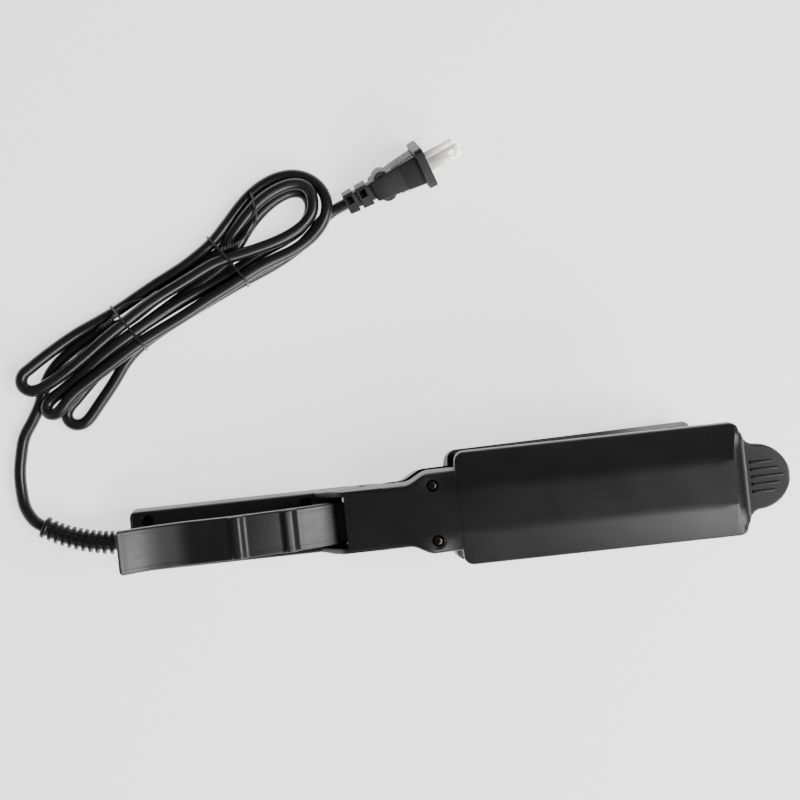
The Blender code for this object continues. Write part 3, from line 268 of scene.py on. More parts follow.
class Finishes:
    """Every finish of the tool, made once."""

    def __init__(self) -> None:
        """Makes the materials."""
        self.abs = Plastic(
            "black_abs", (0.007, 0.007, 0.0073), (0.0088, 0.0088, 0.009), (0.34, 0.44)
        ).make()
        self.heatproof = Plastic(
            "heatproof_black", (0.011, 0.011, 0.011), (0.017, 0.0165, 0.016), (0.5, 0.68)
        ).make()
        self.pvc = Plastic(
            "black_pvc",
            (0.009, 0.009, 0.0095),
            (0.014, 0.014, 0.0145),
            (0.27, 0.38),
            ripple=0.01 * MM,
            scuff=(1.0, 1.0, 1.0),
        ).make()
        self.plug = Plastic(
            "plug_pvc", (0.013, 0.013, 0.0135), (0.021, 0.021, 0.0215), (0.4, 0.52)
        ).make()
        self.ceramic = Ceramic("ceramic_coat", (0.04, 0.04, 0.044), (0.1, 0.1, 0.105)).make()
        self.steel = Metal("spring_steel", (0.4, 0.4, 0.41), (0.56, 0.56, 0.56), (0.22, 0.4)).make()
        self.oxide = Metal(
            "black_oxide", (0.05, 0.042, 0.037), (0.11, 0.09, 0.078), (0.32, 0.48), (1, 1, 1)
        ).make()
        self.nickel = Metal(
            "nickel", (0.84, 0.82, 0.77), (0.95, 0.94, 0.9), (0.34, 0.5), (14, 1, 1)
        ).make()
        self.mica = Mica("mica").make()
        self.tie = Plastic(
            "tie_wire_coat", (0.012, 0.012, 0.012), (0.03, 0.03, 0.03), (0.28, 0.4)
        ).make()
        self.red = Plastic("lead_red", (0.25, 0.02, 0.012), (0.38, 0.035, 0.02), (0.4, 0.55)).make()
        self.white = Plastic("lead_white", (0.6, 0.59, 0.56), (0.74, 0.73, 0.7), (0.4, 0.55)).make()
        self.cap = Plastic("crimp_cap", (0.66, 0.65, 0.6), (0.8, 0.79, 0.75), (0.35, 0.5)).make()


# ---------------------------------------------------------------- shapes

Point = tuple[float, float, float]
Flat = tuple[float, float]


def smooth(t: float) -> float:
    """0 to 1 with flat ends."""
    t = min(1.0, max(0.0, t))
    return t * t * (3 - 2 * t)


def steps_between(start: float, end: float, size: float) -> list[float]:
    """Evenly spaced values from start to end, both included, about size apart."""
    count = max(1, math.ceil(abs(end - start) / size))
    return [start + (end - start) * i / count for i in range(count + 1)]


def arc(centre: Flat, radius: float, start: float, end: float, count: int) -> list[Flat]:
    """Points of an arc in a plane, angles in degrees, both ends included."""
    angles = [math.radians(start + (end - start) * i / count) for i in range(count + 1)]
    return [(centre[0] + radius * math.cos(a), centre[1] + radius * math.sin(a)) for a in angles]


def eased(corners: Sequence[Flat], cuts: Sequence[float], count: int = 5) -> list[Flat]:
    """A closed outline with each corner rounded off.

    Args:
        corners: the outline's corners, in order.
        cuts: how far back from each corner its rounding starts; 0 leaves it sharp.
        count: steps in each rounding.

    Returns:
        The points. Every rounded corner has count + 1 of them, whatever its angle.
    """
    made: list[Flat] = []
    total = len(corners)
    for i, (corner, cut) in enumerate(zip(corners, cuts)):
        here = Vector(corner)
        if cut <= 0:
            made.append(tuple(here))
            continue
        before = Vector(corners[i - 1]) - here
        after = Vector(corners[(i + 1) % total]) - here
        a = here + before.normalized() * min(cut, before.length * 0.49)
        b = here + after.normalized() * min(cut, after.length * 0.49)
        for k in range(count + 1):
            t = k / count
            made.append(tuple(a * (1 - t) ** 2 + here * 2 * t * (1 - t) + b * t * t))
    return made


def mesh_of(name: str, build: Callable[[bmesh.types.BMesh], None]) -> bpy.types.Mesh:
    """A mesh filled by build, its faces turned out."""
    bm = bmesh.new()
    build(bm)
    bmesh.ops.recalc_face_normals(bm, faces=bm.faces)
    mesh = bpy.data.meshes.new(name)
    bm.to_mesh(mesh)
    bm.free()
    return mesh


def loft(name: str, rows: Sequence[Sequence[Point]]) -> bpy.types.Mesh:
    """A closed skin through rows of points, each a loop of the same count, with capped ends."""

    def build(bm: bmesh.types.BMesh) -> None:
        """Adds the loops, the sides and the two caps."""
        loops = [[bm.verts.new(p) for p in row] for row in rows]
        count = len(rows[0])
        for a, b in zip(loops, loops[1:]):
            for i in range(count):
                j = (i + 1) % count
                bm.faces.new((a[i], a[j], b[j], b[i]))
        bm.faces.new(loops[0])
        bm.faces.new(loops[-1])

    return mesh_of(name, build)


def side_slab(
    name: str, outline: Sequence[Flat], low: float, high: float, ease: float = 0.0
) -> bpy.types.Mesh:
    """A shape of an outline of (x, z) points carried across Y, its two rims eased.

    Args:
        name: the mesh's name.
        outline: points in order.
        low: where it starts across the tool.
        high: where it ends.
        ease: width of the eased rim.

    Returns:
        The mesh.
    """
    mesh = loft(name, [[(x, y, z) for x, z in outline] for y in (low, high)])
    if ease > 0:
        bm = bmesh.new()
        bm.from_mesh(mesh)
        rim = [e for e in bm.edges if abs(e.verts[0].co.y - e.verts[1].co.y) < 1e-7]
        bmesh.ops.bevel(bm, geom=rim, offset=ease, segments=3, profile=0.5, affect="EDGES")
        bm.to_mesh(mesh)
        bm.free()
    return mesh


def turned(
    name: str, base: Point, axis: Point, profile: Sequence[Flat], sides: int = 40
) -> bpy.types.Mesh:
    """A shape turned about a line.

    Args:
        name: the mesh's name.
        base: where the line starts.
        axis: its direction.
        profile: (distance along, radius) pairs.
        sides: faces round it.

    Returns:
        The mesh.
    """
    start, along = Vector(base), Vector(axis).normalized()
    side = along.orthogonal().normalized()
    up = along.cross(side)
    rows = []
    for a, r in profile:
        angles = [2 * math.pi * i / sides for i in range(sides)]
        centre = start + along * a
        rows.append([centre + r * (side * math.cos(g) + up * math.sin(g)) for g in angles])
    return loft(name, rows)


def box(name: str, low: Point, high: Point, ease: float = 0.0) -> bpy.types.Mesh:
    """A block between two corners, every edge eased."""
    mesh = loft(
        name,
        [
            [(x, low[1], low[2]), (x, high[1], low[2]), (x, high[1], high[2]), (x, low[1], high[2])]
            for x in (low[0], high[0])
        ],
    )
    if ease > 0:
        bm = bmesh.new()
        bm.from_mesh(mesh)
        bmesh.ops.bevel(
            bm, geom=bm.edges[:], offset=ease, segments=2, profile=0.5, affect="EDGES"
        )
        bm.to_mesh(mesh)
        bm.free()
    return mesh


def combined(base: bpy.types.Mesh, how: str, others: Sequence[bpy.types.Mesh]) -> bpy.types.Mesh:
    """Joins or cuts a mesh by others, one after the other.

    Args:
        base: the mesh that is worked on.
        how: UNION or DIFFERENCE.
        others: the meshes that are joined on or cut away.

    Returns:
        A new mesh.
    """
    scene = bpy.context.scene.collection
    body = bpy.data.objects.new("work", base)
    scene.objects.link(body)
    tools = []
    for mesh in others:
        tool = bpy.data.objects.new("tool", mesh)
        scene.objects.link(tool)
        tools.append(tool)
        step = body.modifiers.new("step", "BOOLEAN")
        step.operation, step.solver, step.object = how, "EXACT", tool
    bpy.context.view_layer.update()
    graph = bpy.context.evaluated_depsgraph_get()
    made = bpy.data.meshes.new_from_object(body.evaluated_get(graph))
    made.name = base.name
    for obj in [body, *tools]:
        bpy.data.objects.remove(obj)
    made.materials.clear()
    return made


def fused(name: str, meshes: Sequence[bpy.types.Mesh]) -> bpy.types.Mesh:
    """Several meshes as one, without joining their surfaces."""
    bm = bmesh.new()
    for mesh in meshes:
        bm.from_mesh(mesh)
    made = bpy.data.meshes.new(name)
    bm.to_mesh(made)
    bm.free()
    return made


def piece(
    name: str,
    mesh: bpy.types.Mesh,
    finish: bpy.types.Material,
    body: str,
    at: Matrix | None = None,
    stands_for: Sequence[str] = (),
    crisp: float = 32.0,
) -> bpy.types.Object:
    """A finished piece, placed in its mesh and riding on its body.

    Args:
        name: the piece's name.
        mesh: its mesh, in the frame that at places.
        finish: its material.
        body: the body that it moves with.
        at: places the mesh in the model's frame.
        stands_for: the nodes that it replaces.
        crisp: edges sharper than this many degrees stay sharp.

    Returns:
        The object.
    """
    if at is not None:
        mesh.transform(at)
    bm = bmesh.new()
    bm.from_mesh(mesh)
    bmesh.ops.remove_doubles(bm, verts=bm.verts, dist=2e-7)
    bmesh.ops.dissolve_degenerate(bm, edges=bm.edges, dist=1e-7)
    for face in bm.faces:
        face.material_index = 0
        face.smooth = True
    bm.to_mesh(mesh)
    bm.free()
    mesh.name = name
    mesh.materials.clear()
    mesh.materials.append(finish)
    mesh.set_sharp_from_angle(angle=math.radians(crisp))
    made = bpy.data.objects.new(name, mesh)
    bpy.context.scene.collection.objects.link(made)
    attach(made, body)
    if stands_for:
        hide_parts(*stands_for)
    log.info("%s: %d faces on %s", name, len(mesh.polygons), body)
    return made


def even_route(knots: Sequence[Point], spacing: float) -> list[Vector]:
    """Evenly spaced points on a smooth curve through knots that doesn't overshoot at tight turns.

    Args:
        knots: the points that the curve passes.
        spacing: about how far apart the results are.

    Returns:
        The points, the first and last knots included.
    """
    pts = [Vector(k) for k in knots]
    pts = [2 * pts[0] - pts[1], *pts, 2 * pts[-1] - pts[-2]]
    fine: list[Vector] = []
    for p0, p1, p2, p3 in zip(pts, pts[1:], pts[2:], pts[3:]):
        t0 = 0.0
        t1 = t0 + max((p1 - p0).length, 1e-9) ** 0.5
        t2 = t1 + max((p2 - p1).length, 1e-9) ** 0.5
        t3 = t2 + max((p3 - p2).length, 1e-9) ** 0.5
        for i in range(20):
            t = t1 + (t2 - t1) * i / 20
            a1 = p0.lerp(p1, (t - t0) / (t1 - t0))
            a2 = p1.lerp(p2, (t - t1) / (t2 - t1))
            a3 = p2.lerp(p3, (t - t2) / (t3 - t2))
            b1 = a1.lerp(a2, (t - t0) / (t2 - t0))
            b2 = a2.lerp(a3, (t - t1) / (t3 - t1))
            fine.append(b1.lerp(b2, (t - t1) / (t2 - t1)))
    fine.append(pts[-2])
    along = [0.0]
    for p, q in zip(fine, fine[1:]):
        along.append(along[-1] + (q - p).length)
    count = max(2, round(along[-1] / spacing))
    made, i = [], 0
    for k in range(count + 1):
        want = along[-1] * k / count
        while i < len(along) - 2 and along[i + 1] < want:
            i += 1
        share = (want - along[i]) / max(along[i + 1] - along[i], 1e-12)
        made.append(fine[i].lerp(fine[i + 1], min(1.0, share)))
    return made


def route_length(points: Sequence[Vector]) -> float:
    """Length of a run of points."""
    return sum((q - p).length for p, q in zip(points, points[1:]))


def wire(
    name: str, points: Sequence[Vector], radius: float, round_steps: int = 3
) -> bpy.types.Object:
    """A round wire or cord as a curve of one open spline, at the origin.

    Args:
        name: the curve's name.
        points: the centre line.
        radius: half its thickness.
        round_steps: how finely its section is divided.

    Returns:
        The curve object, in the scene.
    """
    curve = bpy.data.curves.new(name, "CURVE")
    curve.dimensions = "3D"
    curve.bevel_depth = radius
    curve.bevel_resolution = round_steps
    curve.use_fill_caps = True
    spline = curve.splines.new("POLY")
    spline.points.add(len(points) - 1)
    for p, co in zip(spline.points, points):
        p.co = (*co, 1.0)
    spline.use_smooth = True
    made = bpy.data.objects.new(name, curve)
    bpy.context.scene.collection.objects.link(made)
    return made


def wire_mesh(
    name: str, points: Sequence[Vector], radius: float, round_steps: int = 2
) -> bpy.types.Mesh:
    """As wire, but a plain mesh."""
    made = wire(name, points, radius, round_steps)
    bpy.context.view_layer.update()
    graph = bpy.context.evaluated_depsgraph_get()
    mesh = bpy.data.meshes.new_from_object(made.evaluated_get(graph))
    bpy.data.objects.remove(made)
    return mesh


# ---------------------------------------------------------------- geometry nodes


class Tree:
    """A Geometry Nodes tree with named inputs, and its use on a starting mesh or curve."""

    def __init__(self, name: str) -> None:
        """Starts a tree with a geometry input and output."""
        self.group = bpy.data.node_groups.new(name, "GeometryNodeTree")
        face = self.group.interface
        face.new_socket("Geometry", in_out="INPUT", socket_type="NodeSocketGeometry")
        face.new_socket("Geometry", in_out="OUTPUT", socket_type="NodeSocketGeometry")
        self.named: dict[str, str] = {}
        self.start = self.group.nodes.new("NodeGroupInput")
        self.end = self.group.nodes.new("NodeGroupOutput")

    def ask(self, name: str, kind: str) -> None:
        """Adds a named input of a socket type such as Float, Int, Object or Material."""
        made = self.group.interface.new_socket(
            name, in_out="INPUT", socket_type=f"NodeSocket{kind}"
        )
        self.named[name] = made.identifier

    def add(self, kind: str, **settings: object) -> bpy.types.Node:
        """Adds a node and sets its properties."""
        made = self.group.nodes.new(kind)
        for key, value in settings.items():
            setattr(made, key, value)
        return made

    def join(self, source: bpy.types.NodeSocket, target: bpy.types.NodeSocket) -> None:
        """Links two sockets."""
        self.group.links.new(source, target)

    def sum_of(self, how: str, *terms: object) -> bpy.types.NodeSocket:
        """A Math node on sockets and numbers.

        Args:
            how: the operation.
            terms: a socket or a number for each of its inputs.

        Returns:
            Its value.
        """
        made = self.add("ShaderNodeMath", operation=how)
        for i, term in enumerate(terms):
            if isinstance(term, (int, float)):
                made.inputs[i].default_value = term
            else:
                self.join(term, made.inputs[i])
        return made.outputs[0]

    def close(self, geometry: bpy.types.NodeSocket) -> None:
        """Ends the tree in Realize Instances and Set Material."""
        real = self.add("GeometryNodeRealizeInstances")
        paint = self.add("GeometryNodeSetMaterial")
        self.join(geometry, real.inputs[0])
        self.join(real.outputs[0], paint.inputs["Geometry"])
        self.join(self.start.outputs["Finish"], paint.inputs["Material"])
        self.join(paint.outputs[0], self.end.inputs[0])

    def run(self, name: str, start: bpy.types.ID, **values: object) -> bpy.types.Mesh:
        """Applies the tree to a mesh or curve and returns the result as a plain mesh.

        Args:
            name: the result's name.
            start: the mesh or curve data that the tree is given.
            values: its inputs by name, with underscores for spaces.

        Returns:
            The mesh.
        """
        scene = bpy.context.scene.collection
        host = bpy.data.objects.new(name, start)
        scene.objects.link(host)
        used = host.modifiers.new("nodes", "NODES")
        used.node_group = self.group
        guests = []
        for key, value in values.items():
            if isinstance(value, bpy.types.Mesh):
                value = bpy.data.objects.new(key, value)
                scene.objects.link(value)
                guests.append(value)
            used[self.named[key.replace("_", " ")]] = value
        host.update_tag()
        bpy.context.view_layer.update()
        graph = bpy.context.evaluated_depsgraph_get()
        made = bpy.data.meshes.new_from_object(host.evaluated_get(graph))
        made.name = name
        for obj in [host, *guests]:
            bpy.data.objects.remove(obj)
        return made


def points_mesh(points: Sequence[Point]) -> bpy.types.Mesh:
    """A mesh of loose points."""
    mesh = bpy.data.meshes.new("points")
    mesh.from_pydata([tuple(p) for p in points], [], [])
    return mesh


def screw_tree() -> Tree:
    """Screws on points, each turned about its own axis by a seeded amount."""
    tree = Tree("screws_on_points")
    for name, kind in (("Screw", "Object"), ("Turn Seed", "Int"), ("Finish", "Material")):
        tree.ask(name, kind)
    info = tree.add("GeometryNodeObjectInfo", transform_space="ORIGINAL")
    tree.join(tree.start.outputs["Screw"], info.inputs["Object"])
    turn = tree.add("FunctionNodeRandomValue", data_type="FLOAT_VECTOR")
    turn.inputs["Max"].default_value = (0, 0, math.pi / 2)
    tree.join(tree.start.outputs["Turn Seed"], turn.inputs["Seed"])
    angle = tree.add("FunctionNodeEulerToRotation")
    tree.join(turn.outputs["Value"], angle.inputs[0])
    put = tree.add("GeometryNodeInstanceOnPoints")
    tree.join(tree.start.outputs["Geometry"], put.inputs["Points"])
    tree.join(info.outputs["Geometry"], put.inputs["Instance"])
    tree.join(angle.outputs[0], put.inputs["Rotation"])
    tree.close(put.outputs[0])
    return tree


def rib_tree() -> Tree:
    """A row of ribs side by side, the middle one the longest."""
    tree = Tree("row_of_ribs")
    for name, kind in (
        ("Rib", "Object"),
        ("Count", "Int"),
        ("Pitch", "Float"),
        ("Longest", "Float"),
        ("Shorter By", "Float"),
        ("Finish", "Material"),
    ):
        tree.ask(name, kind)
    asked = tree.start.outputs
    info = tree.add("GeometryNodeObjectInfo", transform_space="ORIGINAL")
    tree.join(asked["Rib"], info.inputs["Object"])
    line = tree.add("GeometryNodeMeshLine", mode="OFFSET")
    tree.join(asked["Count"], line.inputs["Count"])
    half = tree.sum_of("MULTIPLY", tree.sum_of("SUBTRACT", asked["Count"], 1.0), 0.5)
    first = tree.add("ShaderNodeCombineXYZ")
    back = tree.sum_of("MULTIPLY", tree.sum_of("MULTIPLY", half, asked["Pitch"]), -1.0)
    tree.join(back, first.inputs["Y"])
    step = tree.add("ShaderNodeCombineXYZ")
    tree.join(asked["Pitch"], step.inputs["Y"])
    tree.join(first.outputs[0], line.inputs["Start Location"])
    tree.join(step.outputs[0], line.inputs["Offset"])
    index = tree.add("GeometryNodeInputIndex").outputs[0]
    away = tree.sum_of("ABSOLUTE", tree.sum_of("SUBTRACT", index, half))
    length = tree.sum_of("SUBTRACT", asked["Longest"], tree.sum_of("MULTIPLY", away, asked["Shorter By"]))
    scale = tree.add("ShaderNodeCombineXYZ")
    scale.inputs["Y"].default_value = 1.0
    scale.inputs["Z"].default_value = 1.0
    tree.join(length, scale.inputs["X"])
    put = tree.add("GeometryNodeInstanceOnPoints")
    tree.join(line.outputs[0], put.inputs["Points"])
    tree.join(info.outputs["Geometry"], put.inputs["Instance"])
    tree.join(scale.outputs[0], put.inputs["Scale"])
    tree.close(put.outputs[0])
    return tree


def fin_tree() -> Tree:
    """Fins along a curve, shrinking from the first to the last."""
    tree = Tree("fins_on_curve")
    for name, kind in (
        ("Fin", "Object"),
        ("Fins", "Int"),
        ("First", "Float"),
        ("Last", "Float"),
        ("Finish", "Material"),
    ):
        tree.ask(name, kind)
    asked = tree.start.outputs
    info = tree.add("GeometryNodeObjectInfo", transform_space="ORIGINAL")
    tree.join(asked["Fin"], info.inputs["Object"])
    level = tree.add("GeometryNodeSetCurveNormal", mode="Z_UP")
    tree.join(asked["Geometry"], level.inputs[0])
    dots = tree.add("GeometryNodeCurveToPoints", mode="COUNT")
    tree.join(level.outputs[0], dots.inputs["Curve"])
    tree.join(asked["Fins"], dots.inputs["Count"])
    index = tree.add("GeometryNodeInputIndex").outputs[0]
    share = tree.sum_of("DIVIDE", index, tree.sum_of("SUBTRACT", asked["Fins"], 1.0))
    drop = tree.sum_of("MULTIPLY", share, tree.sum_of("SUBTRACT", asked["Last"], asked["First"]))
    size = tree.sum_of("ADD", asked["First"], drop)
    scale = tree.add("ShaderNodeCombineXYZ")
    scale.inputs["Z"].default_value = 1.0
    tree.join(size, scale.inputs["X"])
    tree.join(size, scale.inputs["Y"])
    put = tree.add("GeometryNodeInstanceOnPoints")
    tree.join(dots.outputs["Points"], put.inputs["Points"])
    tree.join(info.outputs["Geometry"], put.inputs["Instance"])
    tree.join(dots.outputs["Rotation"], put.inputs["Rotation"])
    tree.join(scale.outputs[0], put.inputs["Scale"])
    tree.close(put.outputs[0])
    return tree


def plate_tree() -> Tree:
    """A corrugated plate: a wave across it, on a flat back."""
    tree = Tree("corrugated_plate")
    for name in ("Length", "Width", "Pitch", "Height", "Gap", "Back"):
        tree.ask(name, "Float")
    tree.ask("Finish", "Material")
    asked = tree.start.outputs
    grid = tree.add("GeometryNodeMeshGrid")
    grid.inputs["Vertices X"].default_value = 3
    grid.inputs["Vertices Y"].default_value = 193
    tree.join(asked["Length"], grid.inputs["Size X"])
    tree.join(asked["Width"], grid.inputs["Size Y"])
    where = tree.add("ShaderNodeSeparateXYZ")
    tree.join(tree.add("GeometryNodeInputPosition").outputs[0], where.inputs[0])
    turn = tree.sum_of("MULTIPLY", tree.sum_of("DIVIDE", where.outputs["Y"], asked["Pitch"]), math.tau)
    soft = tree.sum_of("MULTIPLY", tree.sum_of("COSINE", turn), -0.96)
    ridge = tree.sum_of("MULTIPLY", tree.sum_of("ARCSINE", soft), 0.86 / math.asin(0.96))
    height = tree.sum_of("MULTIPLY", ridge, tree.sum_of("MULTIPLY", asked["Height"], 0.5))
    lift = tree.add("ShaderNodeCombineXYZ")
    tree.join(tree.sum_of("ADD", height, asked["Gap"]), lift.inputs["Z"])
    waved = tree.add("GeometryNodeSetPosition")
    tree.join(grid.outputs[0], waved.inputs["Geometry"])
    tree.join(lift.outputs[0], waved.inputs["Offset"])
    pulled = tree.add("GeometryNodeExtrudeMesh", mode="FACES")
    pulled.inputs["Individual"].default_value = False
    pulled.inputs["Offset Scale"].default_value = 0.5 * MM
    tree.join(waved.outputs[0], pulled.inputs["Mesh"])
    flat = tree.add("ShaderNodeCombineXYZ")
    tree.join(where.outputs["X"], flat.inputs["X"])
    tree.join(where.outputs["Y"], flat.inputs["Y"])
    tree.join(asked["Back"], flat.inputs["Z"])
    level = tree.add("GeometryNodeSetPosition")
    tree.join(pulled.outputs["Mesh"], level.inputs["Geometry"])
    tree.join(pulled.outputs["Top"], level.inputs["Selection"])
    tree.join(flat.outputs[0], level.inputs["Position"])
    other = tree.add("GeometryNodeFlipFaces")
    tree.join(waved.outputs[0], other.inputs[0])
    both = tree.add("GeometryNodeJoinGeometry")
    tree.join(level.outputs[0], both.inputs[0])
    tree.join(other.outputs[0], both.inputs[0])
    sealed = tree.add("GeometryNodeMergeByDistance")
    sealed.inputs["Distance"].default_value = 0.01 * MM
    tree.join(both.outputs[0], sealed.inputs["Geometry"])
    tree.close(sealed.outputs[0])
    return tree


# ---------------------------------------------------------------- jaw shells


class Side(Enum):
    """Which of the two jaws a shell belongs to."""

    UPPER = 1
    LOWER = -1


@dataclass
class JawShell:
    """A hood over a crimping plate, its arm and the tab at its tip, hollow underneath."""

    side: Side
    start: float
    wall: float = 2.2 * MM
    hood_start: float = 42.3 * MM
    hood_length: float = 128.0 * MM
    hood_half: float = 25.7 * MM
    hood_corner: float = 4.4 * MM
    tab_radius: float = 14.9 * MM
    tab_reach: float = 21.0 * MM
    neck_corner: float = 6.0 * MM
    arm_half: float = 14.6 * MM
    flare: tuple[float, float] = (19.0 * MM, 30.0 * MM)
    flared_half: float = 18.8 * MM
    rise: float = 13.0 * MM
    rim: float = 1.5 * MM
    eaves: float = 5.4 * MM
    flat_half: float = 9.9 * MM
    arm_draft: float = 1.0 * MM
    hood_draft: float = 0.4 * MM
    scoop: float = 7.6 * MM
    tab_top: float = 4.4 * MM
    rib_start: float = 3.2 * MM
    screw_at: Flat = (31.5 * MM, 12.2 * MM)
    seat: float = 10.2 * MM
    recess: float = 2.7 * MM
    step: float = 0.3 * MM  # how much lower the arm's top is than the hood's

    @property
    def hood_end(self) -> float:
        """Where the hood ends and the tab begins."""
        return self.hood_start + self.hood_length

    @property
    def tab_centre(self) -> float:
        """Centre of the tab's round end."""
        return self.hood_end + self.tab_reach - self.tab_radius

    @property
    def scoop_start(self) -> float:
        """Where the roof starts its hollow fall to the tab."""
        return self.hood_end - self.scoop / 2 - 2 * MM

    def stations(self) -> list[Flat]:
        """(place, half width) from the start of the arm to the tip of the tab."""
        found = [(x, self.arm_half) for x in steps_between(self.start, 18.5 * MM, 3 * MM)]
        low, high = self.flare
        for x in steps_between(low, high, 0.8 * MM):
            t = (x - low) / (high - low)
            found.append((x, self.arm_half + (self.flared_half - self.arm_half) * smooth(t)))
        found += [(x, self.flared_half) for x in steps_between(high + 1 * MM, 41.2 * MM, 2 * MM)]
        found += [(self.hood_start - 0.25 * MM, self.flared_half)]
        corner = self.hood_half - self.hood_corner
        found += arc((self.hood_start + self.hood_corner, corner), self.hood_corner, 180, 90, 10)
        last = self.hood_end - self.hood_corner - 0.2 * MM
        runs = steps_between(50 * MM, self.scoop_start - 0.6 * MM, 6 * MM)
        runs += steps_between(self.scoop_start - 0.3 * MM, last, 0.3 * MM)
        found += [(x, self.hood_half) for x in runs]
        found += arc((self.hood_end - self.hood_corner, corner), self.hood_corner, 90, 6, 16)
        neck = self.tab_centre + 1.0 * MM
        found += arc((neck, self.tab_radius + self.neck_corner), self.neck_corner, 186, 263, 16)
        found += [p for p in arc((self.tab_centre, 0), self.tab_radius, 84, 5, 26) if p[0] > neck + 0.6 * MM]
        return found

    def roof(self, x: float, y: float) -> float:
        """Height of the outer face over the meeting plane."""
        crown = smooth((x - 22 * MM) / (self.hood_start - 22 * MM))
        slope = (self.rise - self.eaves) / (self.hood_half - self.hood_draft - self.flat_half)
        height = self.rise - crown * slope * max(0.0, abs(y) - self.flat_half)
        height -= self.step * (1 - smooth((x - self.hood_start + 0.1 * MM) / (0.5 * MM)))
        left = min(1.0, max(0.0, 1 - (x - self.scoop_start) / self.scoop))
        end = self.tab_top + (self.rise - self.tab_top) * left**1.8
        tip = self.hood_end + self.tab_reach
        ease = 0.9 * MM
        near = max(0.0, ease - (tip - x))
        end -= ease - math.sqrt(max(0.0, ease * ease - near * near))
        return min(height, end)

    def section(
        self, x: float, half: float, wall: float = 0.0, bottom: float | None = None
    ) -> list[Point]:
        """A loop round the jaw at x, drawn in by wall at the sides and the roof.

        Args:
            x: place along the tool.
            half: half width at the rim.
            wall: thickness drawn in, 0 for the outside.
            bottom: height of its lower edge, the rim's where it isn't given.

        Returns:
            The points, always the same number.
        """
        draft = self.arm_draft if x < self.hood_start else self.hood_draft
        foot = half - wall
        top = foot - draft
        flat = self.roof(x, 0.0)
        low = self.roof(x, top + wall)
        slope = (self.rise - self.eaves) / (self.hood_half - self.hood_draft - self.flat_half)
        fallen = max(0.0, (self.rise - flat) / slope) if x > self.scoop_start else 0.0
        crest = min(self.flat_half + fallen, 0.8 * top)
        base = self.rim if bottom is None else bottom
        corners = [(foot, base), (top, low - wall), (crest, min(flat, self.roof(x, crest)) - wall)]
        corners += [(-y, z) for y, z in corners[::-1]]
        in_arm = 1 - smooth((x - 24 * MM) / (16 * MM))
        edge = (1.0 + 1.1 * in_arm) * MM if x < self.hood_end - 3 * MM else 0.9 * MM
        before_scoop = 1 - smooth((x - self.scoop_start + 7 * MM) / (6.5 * MM))
        ease = min((0.7 + 2.9 * before_scoop) * MM, 0.4 * (top - crest))
        cuts = [0, edge, ease, ease, edge, 0]
        return [(x, y, z) for y, z in eased(corners, cuts, 5)]

    def outside(self) -> bpy.types.Mesh:
        """The solid outside."""
        return loft("outside", [self.section(x, h) for x, h in self.stations()])

    def inside(self, start: float) -> bpy.types.Mesh:
        """The hollow, open at the rim and at the arm's end."""
        w, corner = self.wall, self.hood_corner
        run = [(start, self.arm_half)]
        low, high = self.flare
        for x in steps_between(low, high, 1.5 * MM):
            t = (x - low) / (high - low)
            run.append((x, self.arm_half + (self.flared_half - self.arm_half) * smooth(t)))
        run += [
            (self.hood_start - 1 * MM, self.flared_half),
            (self.hood_start + w, self.flared_half),
            (self.hood_start + w + 0.4 * MM, self.hood_half - corner / 2),
            (self.hood_start + w + corner / 2, self.hood_half),
            (self.scoop_start - w, self.hood_half),
        ]
        return loft("inside", [self.section(x, h, w, self.rim - 1 * MM) for x, h in run])

    def screw_places(self) -> list[Flat]:
        """The two screws across the flared end of the arm."""
        return [(self.screw_at[0], s * self.screw_at[1]) for s in (1, -1)]

    def openings(self) -> list[bpy.types.Mesh]:
        """Eased recesses for the screw heads."""
        r = self.recess
        line = [(-2.6 * MM, 1.4 * MM), (0, 1.4 * MM), (0, r)]
        line += [(2.25 * MM, r), (2.6 * MM, r + 0.25 * MM), (4.2 * MM, r + 1.8 * MM)]
        return [turned("opening", (x, y, self.seat), (0, 0, 1), line) for x, y in self.screw_places()]

    def bosses(self) -> list[bpy.types.Mesh]:
        """Posts inside that carry the screws."""
        line = [(0, 4.0 * MM), (self.rise - 1.3 * MM - self.seat + 2.2 * MM, 4.0 * MM)]
        return [
            turned("boss", (x, y, self.seat - 2.2 * MM), (0, 0, 1), line) for x, y in self.screw_places()
        ]

    def ribs(self, finish: bpy.types.Material) -> bpy.types.Mesh:
        """The finger ribs on the tab."""
        foot, height, half = -0.5 * MM, 0.8 * MM, 0.65 * MM
        slant = 0.12 * MM
        corners = [(-half, foot), (slant - half, height), (half - slant, height), (half, foot)]
        loop = eased(corners, [0, 0.45 * MM, 0.45 * MM, 0], 4)
        swell = [(0.0, 0.35), (0.015, 0.75), (0.045, 0.96), (0.08, 1.0)]
        swell += [(1 - x, share) for x, share in reversed(swell)]
        rows = []
        for x, share in swell:
            rows.append([(x, y * (0.55 + 0.45 * share), foot + (z - foot) * share) for y, z in loop])
        made = rib_tree().run(
            "ribs",
            points_mesh([(0, 0, 0)]),
            Rib=loft("rib", rows),
            Count=5,
            Pitch=3.3 * MM,
            Longest=15.0 * MM,
            Shorter_By=2.4 * MM,
            Finish=finish,
        )
        made.transform(Matrix.Translation((self.hood_end + self.rib_start, 0, self.tab_top)))
        return made


